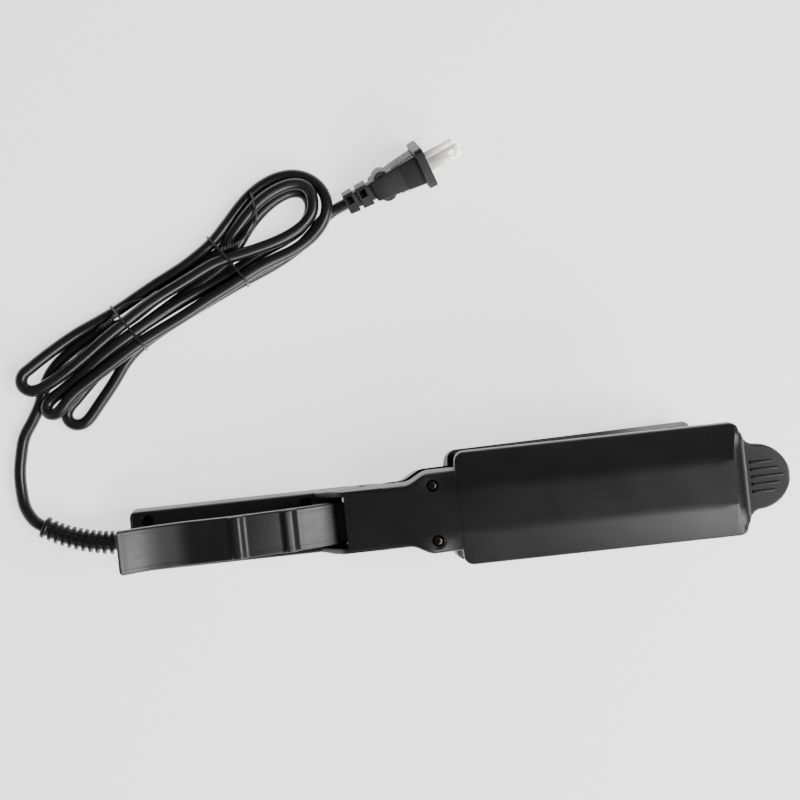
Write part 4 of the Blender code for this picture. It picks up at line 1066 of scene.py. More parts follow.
@dataclass
class Handle:
    """The handle's two halves, the cheeks that carry the pin, and the upper jaw moulded on."""

    end: float = -106.8 * MM
    front: float = -9.6 * MM
    half: float = 14.5 * MM
    top: float = -3.0 * MM
    parting: float = -11.2 * MM
    bottom: float = -18.6 * MM
    draft: float = 1.0 * MM
    edge: float = 2.0 * MM
    wall: float = 2.2 * MM
    gap: float = 0.3 * MM
    cover_edge: float = -8.0 * MM
    crossing_half: float = 11.2 * MM
    cheek_radius: float = 9.0 * MM
    pin: float = 2.5 * MM
    screw_rows: tuple[float, float] = (-98.4 * MM, -26.0 * MM)
    screw_spread: float = 9.0 * MM
    seat: float = -9.2 * MM
    heel_round: float = 2.2 * MM

    def half_shell(self, face: float, wall: float = 0.0) -> bpy.types.Mesh:
        """Half of the handle between the parting and a face, or its hollow.

        Args:
            face: height of its top or bottom.
            wall: thickness drawn in for the hollow, 0 for the outside.

        Returns:
            The mesh.
        """
        up = 1 if face > self.parting else -1
        foot = self.half - wall
        level = face - up * wall
        base = self.parting - up * (1 * MM if wall else 0.0)
        corners = [(foot, base), (foot - self.draft, level), (self.draft - foot, level), (-foot, base)]
        loop = eased(corners, [0, self.edge, self.edge, 0], 7)
        rows = []
        if wall:
            run = [(self.end + wall, 0.0), (self.front - wall, 0.0)]
        else:
            r = self.heel_round
            turns = [math.radians(9 * i) for i in range(11)]
            run = [(self.end + r * (1 - math.cos(a)), r * (1 - math.sin(a))) for a in turns]
            run += [(-60 * MM, 0.0), (self.front, 0.0)]
        for x, inset in run:
            row = []
            for y, z in loop:
                side = math.copysign(max(0.0, abs(y) - inset), y)
                share = (z - base) / (level - base)
                row.append((x, side, base + (level - up * inset * 0.8 - base) * share))
            rows.append(row)
        return loft("half", rows)

    def cheek(self, side: int) -> bpy.types.Mesh:
        """The wall beside the crossing that carries one end of the pin.

        Its outer face runs from the handle's drafted side into the arm's, without a step.

        Args:
            side: 1 or -1, across the tool.

        Returns:
            The mesh.
        """
        rise = 13.0 * MM
        lift = [
            (-22 * MM, self.parting),
            (-22 * MM, self.top - 1 * MM),
            (-21.3 * MM, self.top + 0.5 * MM),
            (-20 * MM, self.top + 1.6 * MM),
            (-15 * MM, 5.4 * MM),
            (-11.6 * MM, rise - 3.6 * MM),
            (-9.6 * MM, rise - 1.6 * MM),
            (-7.4 * MM, rise - 0.9 * MM),
            (9.5 * MM, rise - 0.9 * MM),
            (9.5 * MM, 1.9 * MM),
        ]
        outline = lift + arc((0, 0), self.cheek_radius, 8, -120, 20) + [(-8 * MM, self.parting)]
        inner, outer = self.crossing_half, self.half - self.draft - 0.2 * MM
        low, high = sorted((side * inner, side * outer))
        mesh = side_slab("cheek", outline, low, high, 0.5 * MM)
        for vertex in mesh.vertices:
            x, y, z = vertex.co
            if abs(y) > inner + 0.6 * MM:
                blend = smooth((x + 22 * MM) / (11 * MM))
                near = self.half - self.draft * min(1.0, (z - self.parting) / (8.2 * MM))
                far = 14.6 * MM - max(0.0, z - 1.5 * MM) / 11.5
                full = near * (1 - blend) + far * blend - 0.03 * MM
                vertex.co.y = side * (full - (outer - abs(y)))
        return mesh

    def pin_hole(self) -> bpy.types.Mesh:
        """The hole for the pivot pin."""
        r = self.pin + self.gap
        return turned("pin_hole", (0, -20 * MM, 0), (0, 1, 0), [(0, r), (40 * MM, r)])

    def cord_entry(self) -> bpy.types.Mesh:
        """The hole in the heel for the neck of the strain relief."""
        line = [(0, 4.3 * MM), (4.2 * MM, 4.3 * MM)]
        return turned("entry", (self.end - 1 * MM, 0, self.parting), (1, 0, 0), line)

    def screw_places(self) -> list[Flat]:
        """The four screws that close the handle."""
        return [(x, s * self.screw_spread) for x in self.screw_rows for s in (1, -1)]

    def build_upper(self, jaw: JawShell, fin: Finishes, at: Matrix) -> None:
        """Hood, arm, cheeks and the top half of the handle, moulded in one."""
        shell = combined(
            jaw.outside(),
            "UNION",
            [self.half_shell(self.top), self.cheek(1), self.cheek(-1)],
        )
        hollows = [
            jaw.inside(self.cover_edge - self.wall),
            self.half_shell(self.top, self.wall),
            self.pin_hole(),
            self.cord_entry(),
        ]
        for low in (-6.6 * MM, -9.6 * MM):
            base = (self.front - self.wall - 1 * MM, -(17.0 + 22.4) / 4 * MM, low)
            hollows.append(turned("lead_way", base, (1, 0, 0), [(0, 1.3 * MM), (4.2 * MM, 1.3 * MM)], 20))
        shell = combined(shell, "DIFFERENCE", hollows)
        posts = jaw.bosses()
        depth = self.top - self.wall / 2 - self.parting - self.gap
        posts += [
            turned("post", (x, y, self.parting + self.gap), (0, 0, 1), [(0, 3.7 * MM), (depth, 3.7 * MM)])
            for x, y in self.screw_places()
        ]
        shell = combined(shell, "UNION", posts)
        line = [(-3 * MM, 1.4 * MM), (0, 1.4 * MM), (0, 2.7 * MM), (5.9 * MM, 2.7 * MM)]
        line += [(6.2 * MM, 2.95 * MM), (7.6 * MM, 4.4 * MM)]
        cuts = jaw.openings()
        cuts += [turned("opening", (x, y, self.seat), (0, 0, 1), line) for x, y in self.screw_places()]
        shell = combined(shell, "DIFFERENCE", cuts)
        whole = fused("upper_shell", [shell, jaw.ribs(fin.abs)])
        piece("upper_shell_moulding", whole, fin.abs, HANDLE, at, ["upper_shell"])

    def build_lower(self, fin: Finishes, at: Matrix) -> None:
        """The bottom half of the handle, a hair's breadth below the top half."""
        shell = combined(
            self.half_shell(self.bottom),
            "DIFFERENCE",
            [self.half_shell(self.bottom, self.wall), self.cord_entry()],
        )
        top = self.parting - self.gap
        base = self.bottom + self.wall / 2
        posts = [
            turned("post", (x, y, base), (0, 0, 1), [(0, 2.8 * MM), (top - base, 2.8 * MM)])
            for x, y in self.screw_places()
        ]
        shell = combined(shell, "UNION", posts)
        shell.transform(Matrix.Translation((0, 0, -self.gap)))
        piece(
            "handle_bottom_moulding", shell, fin.abs, HANDLE, at, ["handle_lower_shell"]
        )


@dataclass
class LowerJaw:
    """The lower hood and arm, which the lever's tongue carries."""

    drum_width: float = 17.0 * MM
    start: float = 12.0 * MM

    def build(self, fin: Finishes, at: Matrix) -> None:
        """The upper jaw's mirror, with the tongue's way in at its end."""
        jaw = JawShell(Side.LOWER, self.start)
        mouth = self.drum_width / 2 + 0.3 * MM
        way_in = box(
            "way_in",
            (self.start - 2.2 * MM, -mouth, jaw.rim - 1 * MM),
            (self.start + 6.6 * MM, mouth, jaw.rise - 2.2 * MM),
        )
        shell = combined(jaw.outside(), "DIFFERENCE", [jaw.inside(self.start + 4.4 * MM), way_in])
        shell = combined(shell, "UNION", jaw.bosses())
        shell = combined(shell, "DIFFERENCE", jaw.openings())
        whole = fused("lower_jaw", [shell, jaw.ribs(fin.abs)])
        turn = Matrix.Rotation(math.pi, 4, "X")
        whole.transform(turn)
        piece("lower_jaw_moulding", whole, fin.abs, JAW, at, ["lower_jaw_shell"])


# ---------------------------------------------------------------- lever


@dataclass
class Lever:
    """The squeeze lever, the drum round the pin and the tongue in the lower jaw."""

    half: float = 9.3 * MM
    depth: float = 4.4 * MM
    skin: float = 2.2 * MM
    wall: float = 2.4 * MM
    line: tuple[Flat, ...] = (
        (-109.0 * MM, 6.6 * MM),
        (-104.0 * MM, 4.8 * MM),
        (-97.0 * MM, 3.2 * MM),
        (-88.0 * MM, 2.3 * MM),
        (-80.0 * MM, 2.3 * MM),
        (-72.0 * MM, 4.4 * MM),
        (-62.0 * MM, 7.0 * MM),
        (-47.0 * MM, 8.2 * MM),
        (-32.0 * MM, 8.0 * MM),
        (-22.0 * MM, 6.2 * MM),
        (-16.0 * MM, 4.4 * MM),
        (-11.0 * MM, 2.0 * MM),
    )
    ridges: tuple[float, float] = (-59.8 * MM, -36.7 * MM)
    ridge_height: float = 1.8 * MM
    ridge_slopes: tuple[float, float] = (1.35 * MM, 3.75 * MM)  # towards the heel, and the tip
    ridge_top: float = 2.6 * MM
    rim: float = 0.12 * MM
    drum: float = 8.0 * MM
    drum_width: float = 17.0 * MM
    open_angle: float = math.radians(16.5)
    end_round: float = 1.6 * MM
    hollow: tuple[float, float] = (-106.0 * MM, -18.0 * MM)

    def height(self, x: float) -> float:
        """Height of the lever's back, without its ridges, on a smooth line."""
        run = self.line
        k = next((i for i in range(len(run) - 1) if x <= run[i + 1][0]), len(run) - 2)
        (x0, z0), (x1, z1) = run[k], run[k + 1]
        before = run[max(0, k - 1)]
        after = run[min(len(run) - 1, k + 2)]
        slope_a = (z1 - before[1]) / (x1 - before[0])
        slope_b = (after[1] - z0) / (after[0] - x0)
        t = min(1.0, max(0.0, (x - x0) / (x1 - x0)))
        span = x1 - x0
        return (
            (2 * t**3 - 3 * t**2 + 1) * z0
            + (t**3 - 2 * t**2 + t) * span * slope_a
            + (3 * t**2 - 2 * t**3) * z1
            + (t**3 - t**2) * span * slope_b
        )

    def ridge(self, x: float) -> float:
        """How far a finger ridge stands up at x."""
        lift = 0.0
        to_heel, to_tip = self.ridge_slopes
        for middle in self.ridges:
            away = abs(x - middle) - self.ridge_top / 2
            lift = max(lift, 1 - smooth(away / (to_tip if x > middle else to_heel)))
        return lift * self.ridge_height

    def blade(self) -> bpy.types.Mesh:
        """The lever's channel section along its line."""
        rows = []
        end, root = self.line[0][0], self.line[-1][0]
        for x in steps_between(end, root, 0.7 * MM):
            base = self.height(x)
            near = max(0.0, self.end_round - (x - end))
            drop = self.end_round - math.sqrt(max(0.0, self.end_round**2 - near * near))
            top = base + self.ridge(x) - drop * 0.6
            half = self.half - drop * 0.7
            hollow = self.hollow[0] < x < self.hollow[1]
            under = base - (self.skin if hollow else self.depth - 0.1 * MM)
            inner = half - self.wall
            foot = base - self.depth
            corners = [
                (half, foot),
                (half, top + self.rim),
                (half - 1.7 * MM, top + self.rim),
                (half - 2.6 * MM, top),
                (2.6 * MM - half, top),
                (1.7 * MM - half, top + self.rim),
                (-half, top + self.rim),
                (-half, foot),
                (-inner, foot),
                (-inner, under),
                (inner, under),
                (inner, foot),
            ]
            cuts = [0.25 * MM, 1.0 * MM, 0.5 * MM, 0.5 * MM, 0.5 * MM, 0.5 * MM, 1.0 * MM, 0.25 * MM]
            cuts += [0, 0, 0, 0]
            rows.append([(x, y, z) for y, z in eased(corners, cuts, 4)])
        return loft("blade", rows)

    def build(self, fin: Finishes, at: Matrix) -> None:
        """Lever, web, drum, tongue and stop in one moulding."""
        hw = self.drum_width / 2
        tongue = [(0, -3.4), (8.4, -4.4), (27, -4.4), (27, -10.4), (7, -10.4), (0, -7)]
        root = [(-15, 3.0), (-12, 3.5), (-9, 4.4), (-3, 7.0), (0, 0), (-5, -3.4), (-14, -1.6)]
        lug_x = (-9.6 + 0.3 + 11.5 * math.sin(self.open_angle)) / math.cos(self.open_angle)
        lug = [(lug_x, -11.5), (lug_x + 5, -11.5), (4, -4), (lug_x, -4)]

        def scaled(outline: Sequence[Flat]) -> list[Flat]:
            """An outline in metres."""
            return [(x * MM, z * MM) for x, z in outline]

        ease = 0.4 * MM
        profile = [(0, self.drum - ease), (ease, self.drum)]
        profile += [(2 * hw - ease, self.drum), (2 * hw, self.drum - ease)]
        parts = [
            side_slab("root", scaled(root), -hw, hw, ease),
            turned("drum", (0, -hw, 0), (0, 1, 0), profile, 64),
            side_slab("tongue", scaled(tongue), -hw + ease, hw - ease),
            side_slab("lug", scaled(lug), -7 * MM, 7 * MM, 0.3 * MM),
        ]
        whole = combined(self.blade(), "UNION", parts)
        pocket = turned("pocket", (0, hw - 5 * MM, 0), (0, 1, 0), [(0, 6.4 * MM), (6 * MM, 6.4 * MM)], 48)
        hole = turned("hole", (0, -20 * MM, 0), (0, 1, 0), [(0, 2.8 * MM), (40 * MM, 2.8 * MM)])
        whole = combined(whole, "DIFFERENCE", [hole, pocket])
        piece("squeeze_lever", whole, fin.abs, JAW, at, ["lever"])


# ---------------------------------------------------------------- plates and screws


@dataclass
class CrimpPlates:
    """The two corrugated plates, which mesh when the jaws close."""

    start: float = 48.0 * MM
    length: float = 113.0 * MM
    width: float = 42.0 * MM
    back: float = 5.0 * MM
    pitch: float = 5.25 * MM
    height: float = 2.2 * MM
    gap: float = 0.6 * MM

    def build(self, side: Side, fin: Finishes, at: Matrix) -> None:
        """One plate, its wave towards the other jaw."""
        sign = side.value
        mesh = plate_tree().run(
            "plate",
            points_mesh([(0, 0, 0)]),
            Length=self.length,
            Width=self.width,
            Pitch=self.pitch,
            Height=self.height,
            Gap=sign * self.gap / 2,
            Back=sign * self.back,
            Finish=fin.ceramic,
        )
        mesh.transform(Matrix.Translation((self.start + self.length / 2, 0, 0)))
        bm = bmesh.new()
        bm.from_mesh(mesh)
        bmesh.ops.recalc_face_normals(bm, faces=bm.faces)
        bm.to_mesh(mesh)
        bm.free()
        name = side.name.lower()
        body = HANDLE if side is Side.UPPER else JAW
        node = f"{name}_crimp_plate"
        piece(f"{name}_corrugated_plate", mesh, fin.ceramic, body, at, [node])


@dataclass
class Screws:
    """Cross-head screws with pan heads."""

    head: float = 2.2 * MM
    rise: float = 1.5 * MM
    shank: float = 1.1 * MM

    def one(self, length: float) -> bpy.types.Mesh:
        """A screw whose head stands on the origin and whose shank hangs below it."""
        h, s = self.head, self.shank
        line = [(-length, s * 0.35), (-length + 0.6 * MM, s), (-0.02 * MM, s), (0, h * 0.96), (0.25 * MM, h)]
        line += [(0.6 * MM, h * 0.98), (0.95 * MM, h * 0.9), (1.22 * MM, h * 0.76)]
        line += [(1.4 * MM, h * 0.56), (1.48 * MM, h * 0.3), (self.rise, h * 0.1)]
        body = turned("screw", (0, 0, 0), (0, 0, 1), line, 32)
        cuts = []
        for i in range(2):
            arm = loft(
                "cross",
                [
                    [(-a, -b, z), (a, -b, z), (a, b, z), (-a, b, z)]
                    for a, b, z in ((0.35 * MM, 0.16 * MM, 0.25 * MM), (1.35 * MM, 0.3 * MM, 1.7 * MM))
                ],
            )
            arm.transform(Matrix.Rotation(math.pi / 2 * i, 4, "Z"))
            cuts.append(arm)
        return combined(body, "DIFFERENCE", cuts)

    def build(
        self,
        name: str,
        places: Sequence[Point],
        length: float,
        seed: int,
        fin: Finishes,
        body: str,
        at: Matrix,
        nodes: Sequence[str],
    ) -> None:
        """A set of screws of one length on one body.

        Args:
            name: the piece's name.
            places: where each head sits.
            length: from the seat to the tip.
            seed: settles how far each was driven.
            fin: the finishes.
            body: the body that they ride on.
            at: places them in the model.
            nodes: the nodes that they stand for.
        """
        mesh = screw_tree().run(
            name, points_mesh(places), Screw=self.one(length), Turn_Seed=seed, Finish=fin.oxide
        )
        piece(name, mesh, fin.oxide, body, at, nodes)


# ---------------------------------------------------------------- cord


@dataclass
class StrainRelief:
    """Finned sleeve from the heel to the cord, bent the way the cord leaves."""

    handle_end: float
    core: float = 3.6 * MM
    neck: float = 4.0 * MM
    first: float = 5.6 * MM
    last: float = 4.9 * MM
    fins: int = 13
    collar: float = 2.2 * MM
    inside: float = 4.6 * MM
    setback: float = 3.1 * MM  # from the heel back to where the cord's plan starts
    route: tuple[Point, ...] = (
        (-10.0 * MM, 0.8 * MM, 6.6 * MM),
        (-20.0 * MM, 3.2 * MM, 6.2 * MM),
        (-29.5 * MM, 7.0 * MM, 6.0 * MM),
        (-37.0 * MM, 11.4 * MM, 5.8 * MM),
    )

    def centre_line(self, at: Matrix) -> tuple[list[Vector], Vector]:
        """Its centre line and where the cord's plan starts.

        Args:
            at: the handle's matrix.

        Returns:
            The points from inside the heel to the collar, and the place on the table that the
            cord's own plan starts from.
        """
        end, level = self.handle_end, -11.2 * MM
        heel = at @ Vector((end, 0, level))
        inner = at @ Vector((end + self.inside, 0, level))
        beyond = at @ Vector((end - 4 * MM, 0, level))
        shift = Vector((heel.x - self.setback, 0, 0))
        knots = [inner, heel, beyond] + [Vector(p) + shift for p in self.route]
        return even_route(knots, 0.5 * MM), shift

    def sleeve(
        self,
        line: Sequence[Vector],
        profile: Callable[[float], tuple[float, float]],
        sides: int = 32,
    ) -> bpy.types.Mesh:
        """A skin along a line whose half width and half height profile gives by distance."""
        rows, walked = [], 0.0
        for i, centre in enumerate(line):
            if i:
                walked += (centre - line[i - 1]).length
            forward = (line[min(i + 1, len(line) - 1)] - line[max(i - 1, 0)]).normalized()
            across = forward.cross(Vector((0, 0, 1))).normalized()
            up = across.cross(forward)
            wide, high = profile(walked)
            angles = [2 * math.pi * k / sides for k in range(sides)]
            rows.append([centre + across * wide * math.cos(a) + up * high * math.sin(a) for a in angles])
        return loft("sleeve", rows)

    def build(self, fin: Finishes, at: Matrix) -> Vector:
        """Core, collar, fins and the spine that ties the fins together.

        Args:
            fin: the finishes.
            at: the handle's matrix.

        Returns:
            The direction in which the cord leaves it.
        """
        line, _ = self.centre_line(at)
        total = route_length(line)
        begin, end = self.inside + 0.6 * MM, total - self.collar

        def profile(walked: float) -> tuple[float, float]:
            """Flange in the heel, neck, core and round-shouldered collar."""
            if walked < self.inside - 2.5 * MM:
                return 5.0 * MM, 5.0 * MM
            if walked < begin:
                return self.neck, self.neck
            if walked < end:
                return self.core, self.core
            near = min(walked - end, total - walked) / (0.5 * MM)
            r = self.last + 0.2 * MM - 0.45 * MM * max(0.0, 1 - near)
            return r, r

        dense = even_route(line, 0.2 * MM)
        core = self.sleeve(dense, profile)
        spine_run = [
            p
            for p in line
            if (p - line[0]).length > begin and (p - line[-1]).length > self.collar * 0.5
        ]
        spine_rows = []
        for i, centre in enumerate(spine_run):
            forward = (spine_run[min(i + 1, len(spine_run) - 1)] - spine_run[max(i - 1, 0)]).normalized()
            across = forward.cross(Vector((0, 0, 1))).normalized()
            up = across.cross(forward)
            t = i / (len(spine_run) - 1)
            high = (self.first + (self.last - self.first) * t) * 0.93
            corners = [(-1.5 * MM, -high), (1.5 * MM, -high), (1.5 * MM, high), (-1.5 * MM, high)]
            loop = eased(corners, [0.5 * MM] * 4, 3)
            spine_rows.append([centre + across * a + up * b for a, b in loop])
        spine = loft("spine", spine_rows)
        keep = [p for p in line if begin + 0.5 * MM < self.walk(line, p) < end - 2.0 * MM]
        curve_obj = wire("fin_line", keep, 0.0)
        curve = curve_obj.data
        bpy.data.objects.remove(curve_obj)
        ring = [(-0.8 * MM, 0.6), (-0.8 * MM, 0.94), (-0.55 * MM, 1.0)]
        ring += [(-along, share) for along, share in reversed(ring)]
        fin_mesh = turned("fin", (0, 0, 0), (0, 0, 1), ring, 40)
        made = fin_tree().run(
            "fins", curve, Fin=fin_mesh, Fins=self.fins, First=self.first, Last=self.last, Finish=fin.pvc
        )
        whole = fused("strain_relief", [core, spine, made])
        piece("finned_strain_relief", whole, fin.pvc, HANDLE, None, ["strain_relief"])
        return (line[-1] - line[-2]).normalized()

    @staticmethod
    def walk(line: Sequence[Vector], point: Vector) -> float:
        """How far along a line one of its own points is."""
        return route_length(line[: list(line).index(point) + 1])


@dataclass
class MainsCord:
    """The two-core cord: lead from the handle, seven runs folded into a hank, tail to the plug."""

    radius: float = 2.8 * MM
    spacing: float = 1.2 * MM
    wanted_bend: float = 4.8 * MM  # folds of a smaller radius than this are opened up
    easings: int = 240
    easing: float = 0.4  # the share of the way to its neighbours' middle that a point goes each time
    turn: float = math.radians(25.4)
    corner: Flat = (-42.4, 78.5)  # the hank's own origin, from where the cord's plan starts, in mm
    lead: tuple[Point, ...] = (
        (-40.5, 14.0, 5.2),
        (-42.9, 17.5, 4.6),
        (-44.5, 21.3, 3.9),
        (-45.2, 25.6, 3.3),
        (-45.4, 36.0, 2.8),
        (-43.8, 45.4, 2.8),
        (-41.6, 53.0, 2.8),
    )
    # along the hank, across it, and height from the table, in mm
    hank: tuple[Point, ...] = (
        (-2.8, -18.6, 2.8),
        (2.6, -14.8, 2.8),
        (7.4, -10.4, 2.8),
        (12.6, -5.8, 2.8),
        (19.0, -2.6, 2.8),
        (28.0, -0.6, 3.0),
        (38.0, 0.2, 3.4),
        (47.0, -0.2, 3.8),
        (56.0, -1.6, 4.0),
        (76.0, 0.8, 3.8),
        (95.0, 2.4, 3.8),
        (111.0, 4.5, 4.0),
        (120.0, 8.4, 5.4),
        (130.0, 12.4, 7.6),
        (139.0, 14.9, 8.4),
        (148.0, 15.6, 8.4),
        (155.4, 14.4, 8.2),
        (160.0, 11.6, 8.0),
        (161.6, 7.4, 8.0),
        (160.4, 2.4, 8.0),
        (157.0, -2.0, 8.2),
        (151.4, -4.7, 8.4),
        (145.0, -5.7, 8.6),
        (136.0, -5.4, 8.8),
        (122.3, -3.1, 9.0),
        (106.6, 0.2, 9.4),
        (89.0, 0.2, 9.2),
        (71.6, -0.3, 9.2),
        (54.1, -2.6, 9.6),
        (43.0, -4.3, 9.4),
        (31.4, -6.5, 9.0),
        (21.2, -8.1, 8.8),
        (12.6, -8.8, 8.6),
        (6.8, -8.6, 8.4),
        (2.4, -6.4, 8.2),
        (1.2, -2.8, 8.0),
        (3.8, 0.4, 7.8),
        (10.5, 2.0, 7.0),
        (23.1, 3.9, 5.6),
        (34.9, 4.9, 4.6),
        (46.0, 4.8, 4.2),
        (56.0, 4.9, 4.0),
        (75.0, 6.3, 3.8),
        (93.7, 7.2, 3.8),
        (109.0, 9.8, 4.0),
        (121.0, 14.4, 3.6),
        (129.5, 18.0, 3.4),
        (137.0, 20.4, 3.2),
        (145.0, 21.5, 3.2),
        (153.0, 20.8, 3.4),
        (160.0, 17.9, 3.8),
        (164.8, 13.0, 4.6),
        (167.0, 7.0, 5.8),
        (166.6, 1.0, 7.6),
        (163.8, -4.4, 8.6),
        (158.6, -8.8, 8.8),
        (151.0, -11.8, 8.8),
        (140.3, -12.9, 8.8),
        (131.0, -12.2, 9.0),
        (122.0, -11.7, 9.4),
        (111.0, -12.2, 9.7),
        (95.0, -12.6, 9.4),
        (80.0, -13.4, 9.4),
        (68.0, -13.6, 9.5),
        (56.0, -13.9, 9.7),
        (41.4, -15.5, 9.4),
        (29.5, -16.9, 9.2),
        (18.5, -18.7, 9.2),
        (10.8, -21.6, 9.0),
        (5.6, -22.6, 8.0),
        (2.9, -20.4, 6.8),
        (4.4, -16.8, 5.8),
        (9.2, -15.2, 5.6),
        (16.0, -14.2, 6.0),
        (26.0, -12.6, 7.0),
        (40.0, -10.0, 8.8),
        (56.0, -8.3, 9.6),
        (72.0, -7.2, 8.2),
        (90.0, -6.8, 5.0),
        (104.0, -7.0, 4.0),
        (115.0, -6.6, 3.6),
        (128.0, -5.8, 3.0),
        (140.0, -6.0, 2.8),
        (149.0, -5.2, 2.8),
        (156.0, -1.8, 2.8),
        (159.6, 3.4, 2.8),
        (159.2, 8.6, 2.8),
        (154.8, 11.8, 2.8),
        (147.6, 12.6, 2.8),
        (138.6, 11.2, 2.9),
        (129.0, 7.8, 3.2),
        (120.0, 3.0, 3.7),
        (111.0, -1.3, 4.0),
        (95.0, -3.6, 3.8),
        (76.0, -5.6, 3.8),
        (56.0, -8.1, 4.0),
        (46.0, -11.2, 3.5),
        (37.3, -14.2, 2.9),
        (27.0, -17.6, 2.8),
        (18.6, -20.6, 2.8),
        (12.8, -22.8, 2.8),
        (9.8, -26.4, 2.8),
        (11.2, -30.4, 2.8),
        (16.2, -31.8, 2.8),
        (27.2, -27.4, 2.8),
        (38.0, -22.2, 2.9),
        (46.6, -17.6, 3.5),
        (56.0, -14.7, 4.0),
        (75.0, -13.0, 3.9),
        (95.0, -12.8, 3.9),
        (111.0, -12.9, 4.0),
        (122.0, -13.4, 3.2),
        (133.0, -13.4, 2.8),
        (144.0, -12.4, 2.8),
        (153.0, -9.9, 2.8),
        (160.0, -7.1, 3.0),
        (166.7, -6.0, 4.2),
    )
    ties: tuple[tuple[Flat, Flat], ...] = (((54.3, 6.4), (57.6, -16.7)), ((109.4, 10.7), (113.0, -12.7)))

    def on_table(self, u: float, v: float, z: float, origin: Vector) -> Vector:
        """A point of the hank in the model's frame, from its own along, across and height in mm."""
        c, s = math.cos(self.turn), math.sin(self.turn)
        x = self.corner[0] + u * c - v * s
        y = self.corner[1] + u * s + v * c
        return Vector((origin.x + x * MM, y * MM, z * MM))

    def route(self, line: Sequence[Vector], origin: Vector, plug: Vector, away: Vector) -> list[Vector]:
        """The whole cord's centre line.

        Args:
            line: the strain relief's centre line.
            origin: where the cord's plan starts.
            plug: where the cord enters the plug.
            away: the plug's direction.

        Returns:
            Evenly spaced points.
        """
        forward = (line[-1] - line[-2]).normalized()
        knots = [line[-1] - forward * 3 * MM, line[-1] + forward * 0.6 * MM]
        knots += [Vector((origin.x + x * MM, y * MM, z * MM)) for x, y, z in self.lead]
        knots += [self.on_table(*p, origin) for p in self.hank]
        knots += [plug - away * 0.3 * MM, plug + away * 3 * MM]
        points = even_route(knots, self.spacing)
        sharpest = self.spacing / self.wanted_bend  # turn from one point to the next, in radians
        for _ in range(self.easings):
            for a, b, c in zip(points, points[1:], points[2:]):
                if (b - a).angle(c - b, 0.0) > sharpest:
                    b += ((a + c) / 2 - b) * self.easing
        return even_route(points, self.spacing)

    def build_ties(self, points: Sequence[Vector], origin: Vector, fin: Finishes) -> None:
        """Two wires, each drawn tight round the runs and twisted, with its ends left long.

        Args:
            points: the cord's centre line.
            origin: where the cord's plan starts.
            fin: the finishes.
        """
        thin = 0.52 * MM
        ends = (
            {
                "twist": ((54.4, 2.6, 10.6), (51.9, 1.9, 9.2), (48.4, 1.3, 8.2), (45.2, 1.8, 7.7)),
                "tail": ((54.2, 4.4, 8.6), (57.0, 4.9, 7.7), (61.0, 4.8, 7.6), (68.6, 3.0, 8.0)),
                "stub": ((45.2, 1.8, 7.7), (42.6, 1.2, 7.5)),
            },
            {
                "twist": ((110.8, 4.2, 11.4), (113.8, 3.7, 10.6), (119.2, 3.0, 9.8)),
                "tail": (
                    (119.2, 3.0, 9.8),
                    (123.4, 3.8, 9.0),
                    (128.2, 5.2, 9.0),
                    (132.6, 8.4, 10.8),
                    (134.6, 12.7, 11.8),
                    (136.2, 16.6, 9.4),
                    (137.4, 20.6, 6.9),
                ),
                "stub": ((119.2, 3.0, 9.8), (122.0, 3.4, 9.6), (125.7, 4.7, 9.4)),
            },
        )
        for number, ((start, end), loose) in enumerate(zip(self.ties, ends), 1):
            a = self.on_table(*start, 0, origin)
            b = self.on_table(*end, 0, origin)
            down = (b - a).normalized()
            across = Vector((-down.y, down.x, 0))
            ring = []
            for p, q in zip(points, points[1:]):
                dp, dq = (p - a).dot(across), (q - a).dot(across)
                if dp * dq < 0:
                    hit = p.lerp(q, dp / (dp - dq))
                    w = (hit - a).dot(down)
                    if -12 * MM < w < 36 * MM:
                        grown = self.radius + thin
                        for k in range(24):
                            g = math.tau * k / 24
                            ring.append((w + grown * math.cos(g), hit.z + grown * math.sin(g)))
            loop = [a + down * w + Vector((0, 0, max(z, thin))) for w, z in hull(ring)]
            closed = even_route([*loop, loop[0], loop[1]], 0.8 * MM)
            parts = [wire_mesh("loop", closed, thin)]
            twist = even_route([self.on_table(*p, origin) for p in loose["twist"]], 0.35 * MM)
            for phase in (0.0, math.pi):
                strand = []
                for i, centre in enumerate(twist):
                    forward = (twist[min(i + 1, len(twist) - 1)] - twist[max(i - 1, 0)]).normalized()
                    side = forward.cross(Vector((0, 0, 1))).normalized()
                    up = side.cross(forward)
                    g = phase + i * 0.35 * MM / (2.9 * MM) * math.tau
                    strand.append(centre + (side * math.cos(g) + up * math.sin(g)) * thin)
                parts.append(wire_mesh("strand", strand, thin))
            for key in ("tail", "stub"):
                end_run = even_route([self.on_table(*p, origin) for p in loose[key]], 0.8 * MM)
                parts.append(wire_mesh(key, end_run, thin))
            whole = fused("tie", parts)
            piece(f"wire_tie_{number}", whole, fin.tie, HANDLE, None, [f"twist_tie_{number}"], 60)

    def build(
        self,
        line: Sequence[Vector],
        origin: Vector,
        plug: Matrix,
        fin: Finishes,
        far: Sequence[bpy.types.Object],
    ) -> None:
        """The cord as one curve, and its ties.

        Args:
            line: the strain relief's centre line.
            origin: where the cord's plan starts.
            plug: the plug's matrix.
            fin: the finishes.
            far: the pieces on the cord's far end; not used.
        """
        away = plug.to_3x3() @ Vector((1, 0, 0))
        points = self.route(line, origin, plug.translation, away)
        cord = wire("mains_cord", points, self.radius, 4)
        cord.data.materials.append(fin.pvc)
        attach(cord, HANDLE)
        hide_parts("cord_lead", "cord_hank", "cord_tail")
        self.build_ties(points, origin, fin)


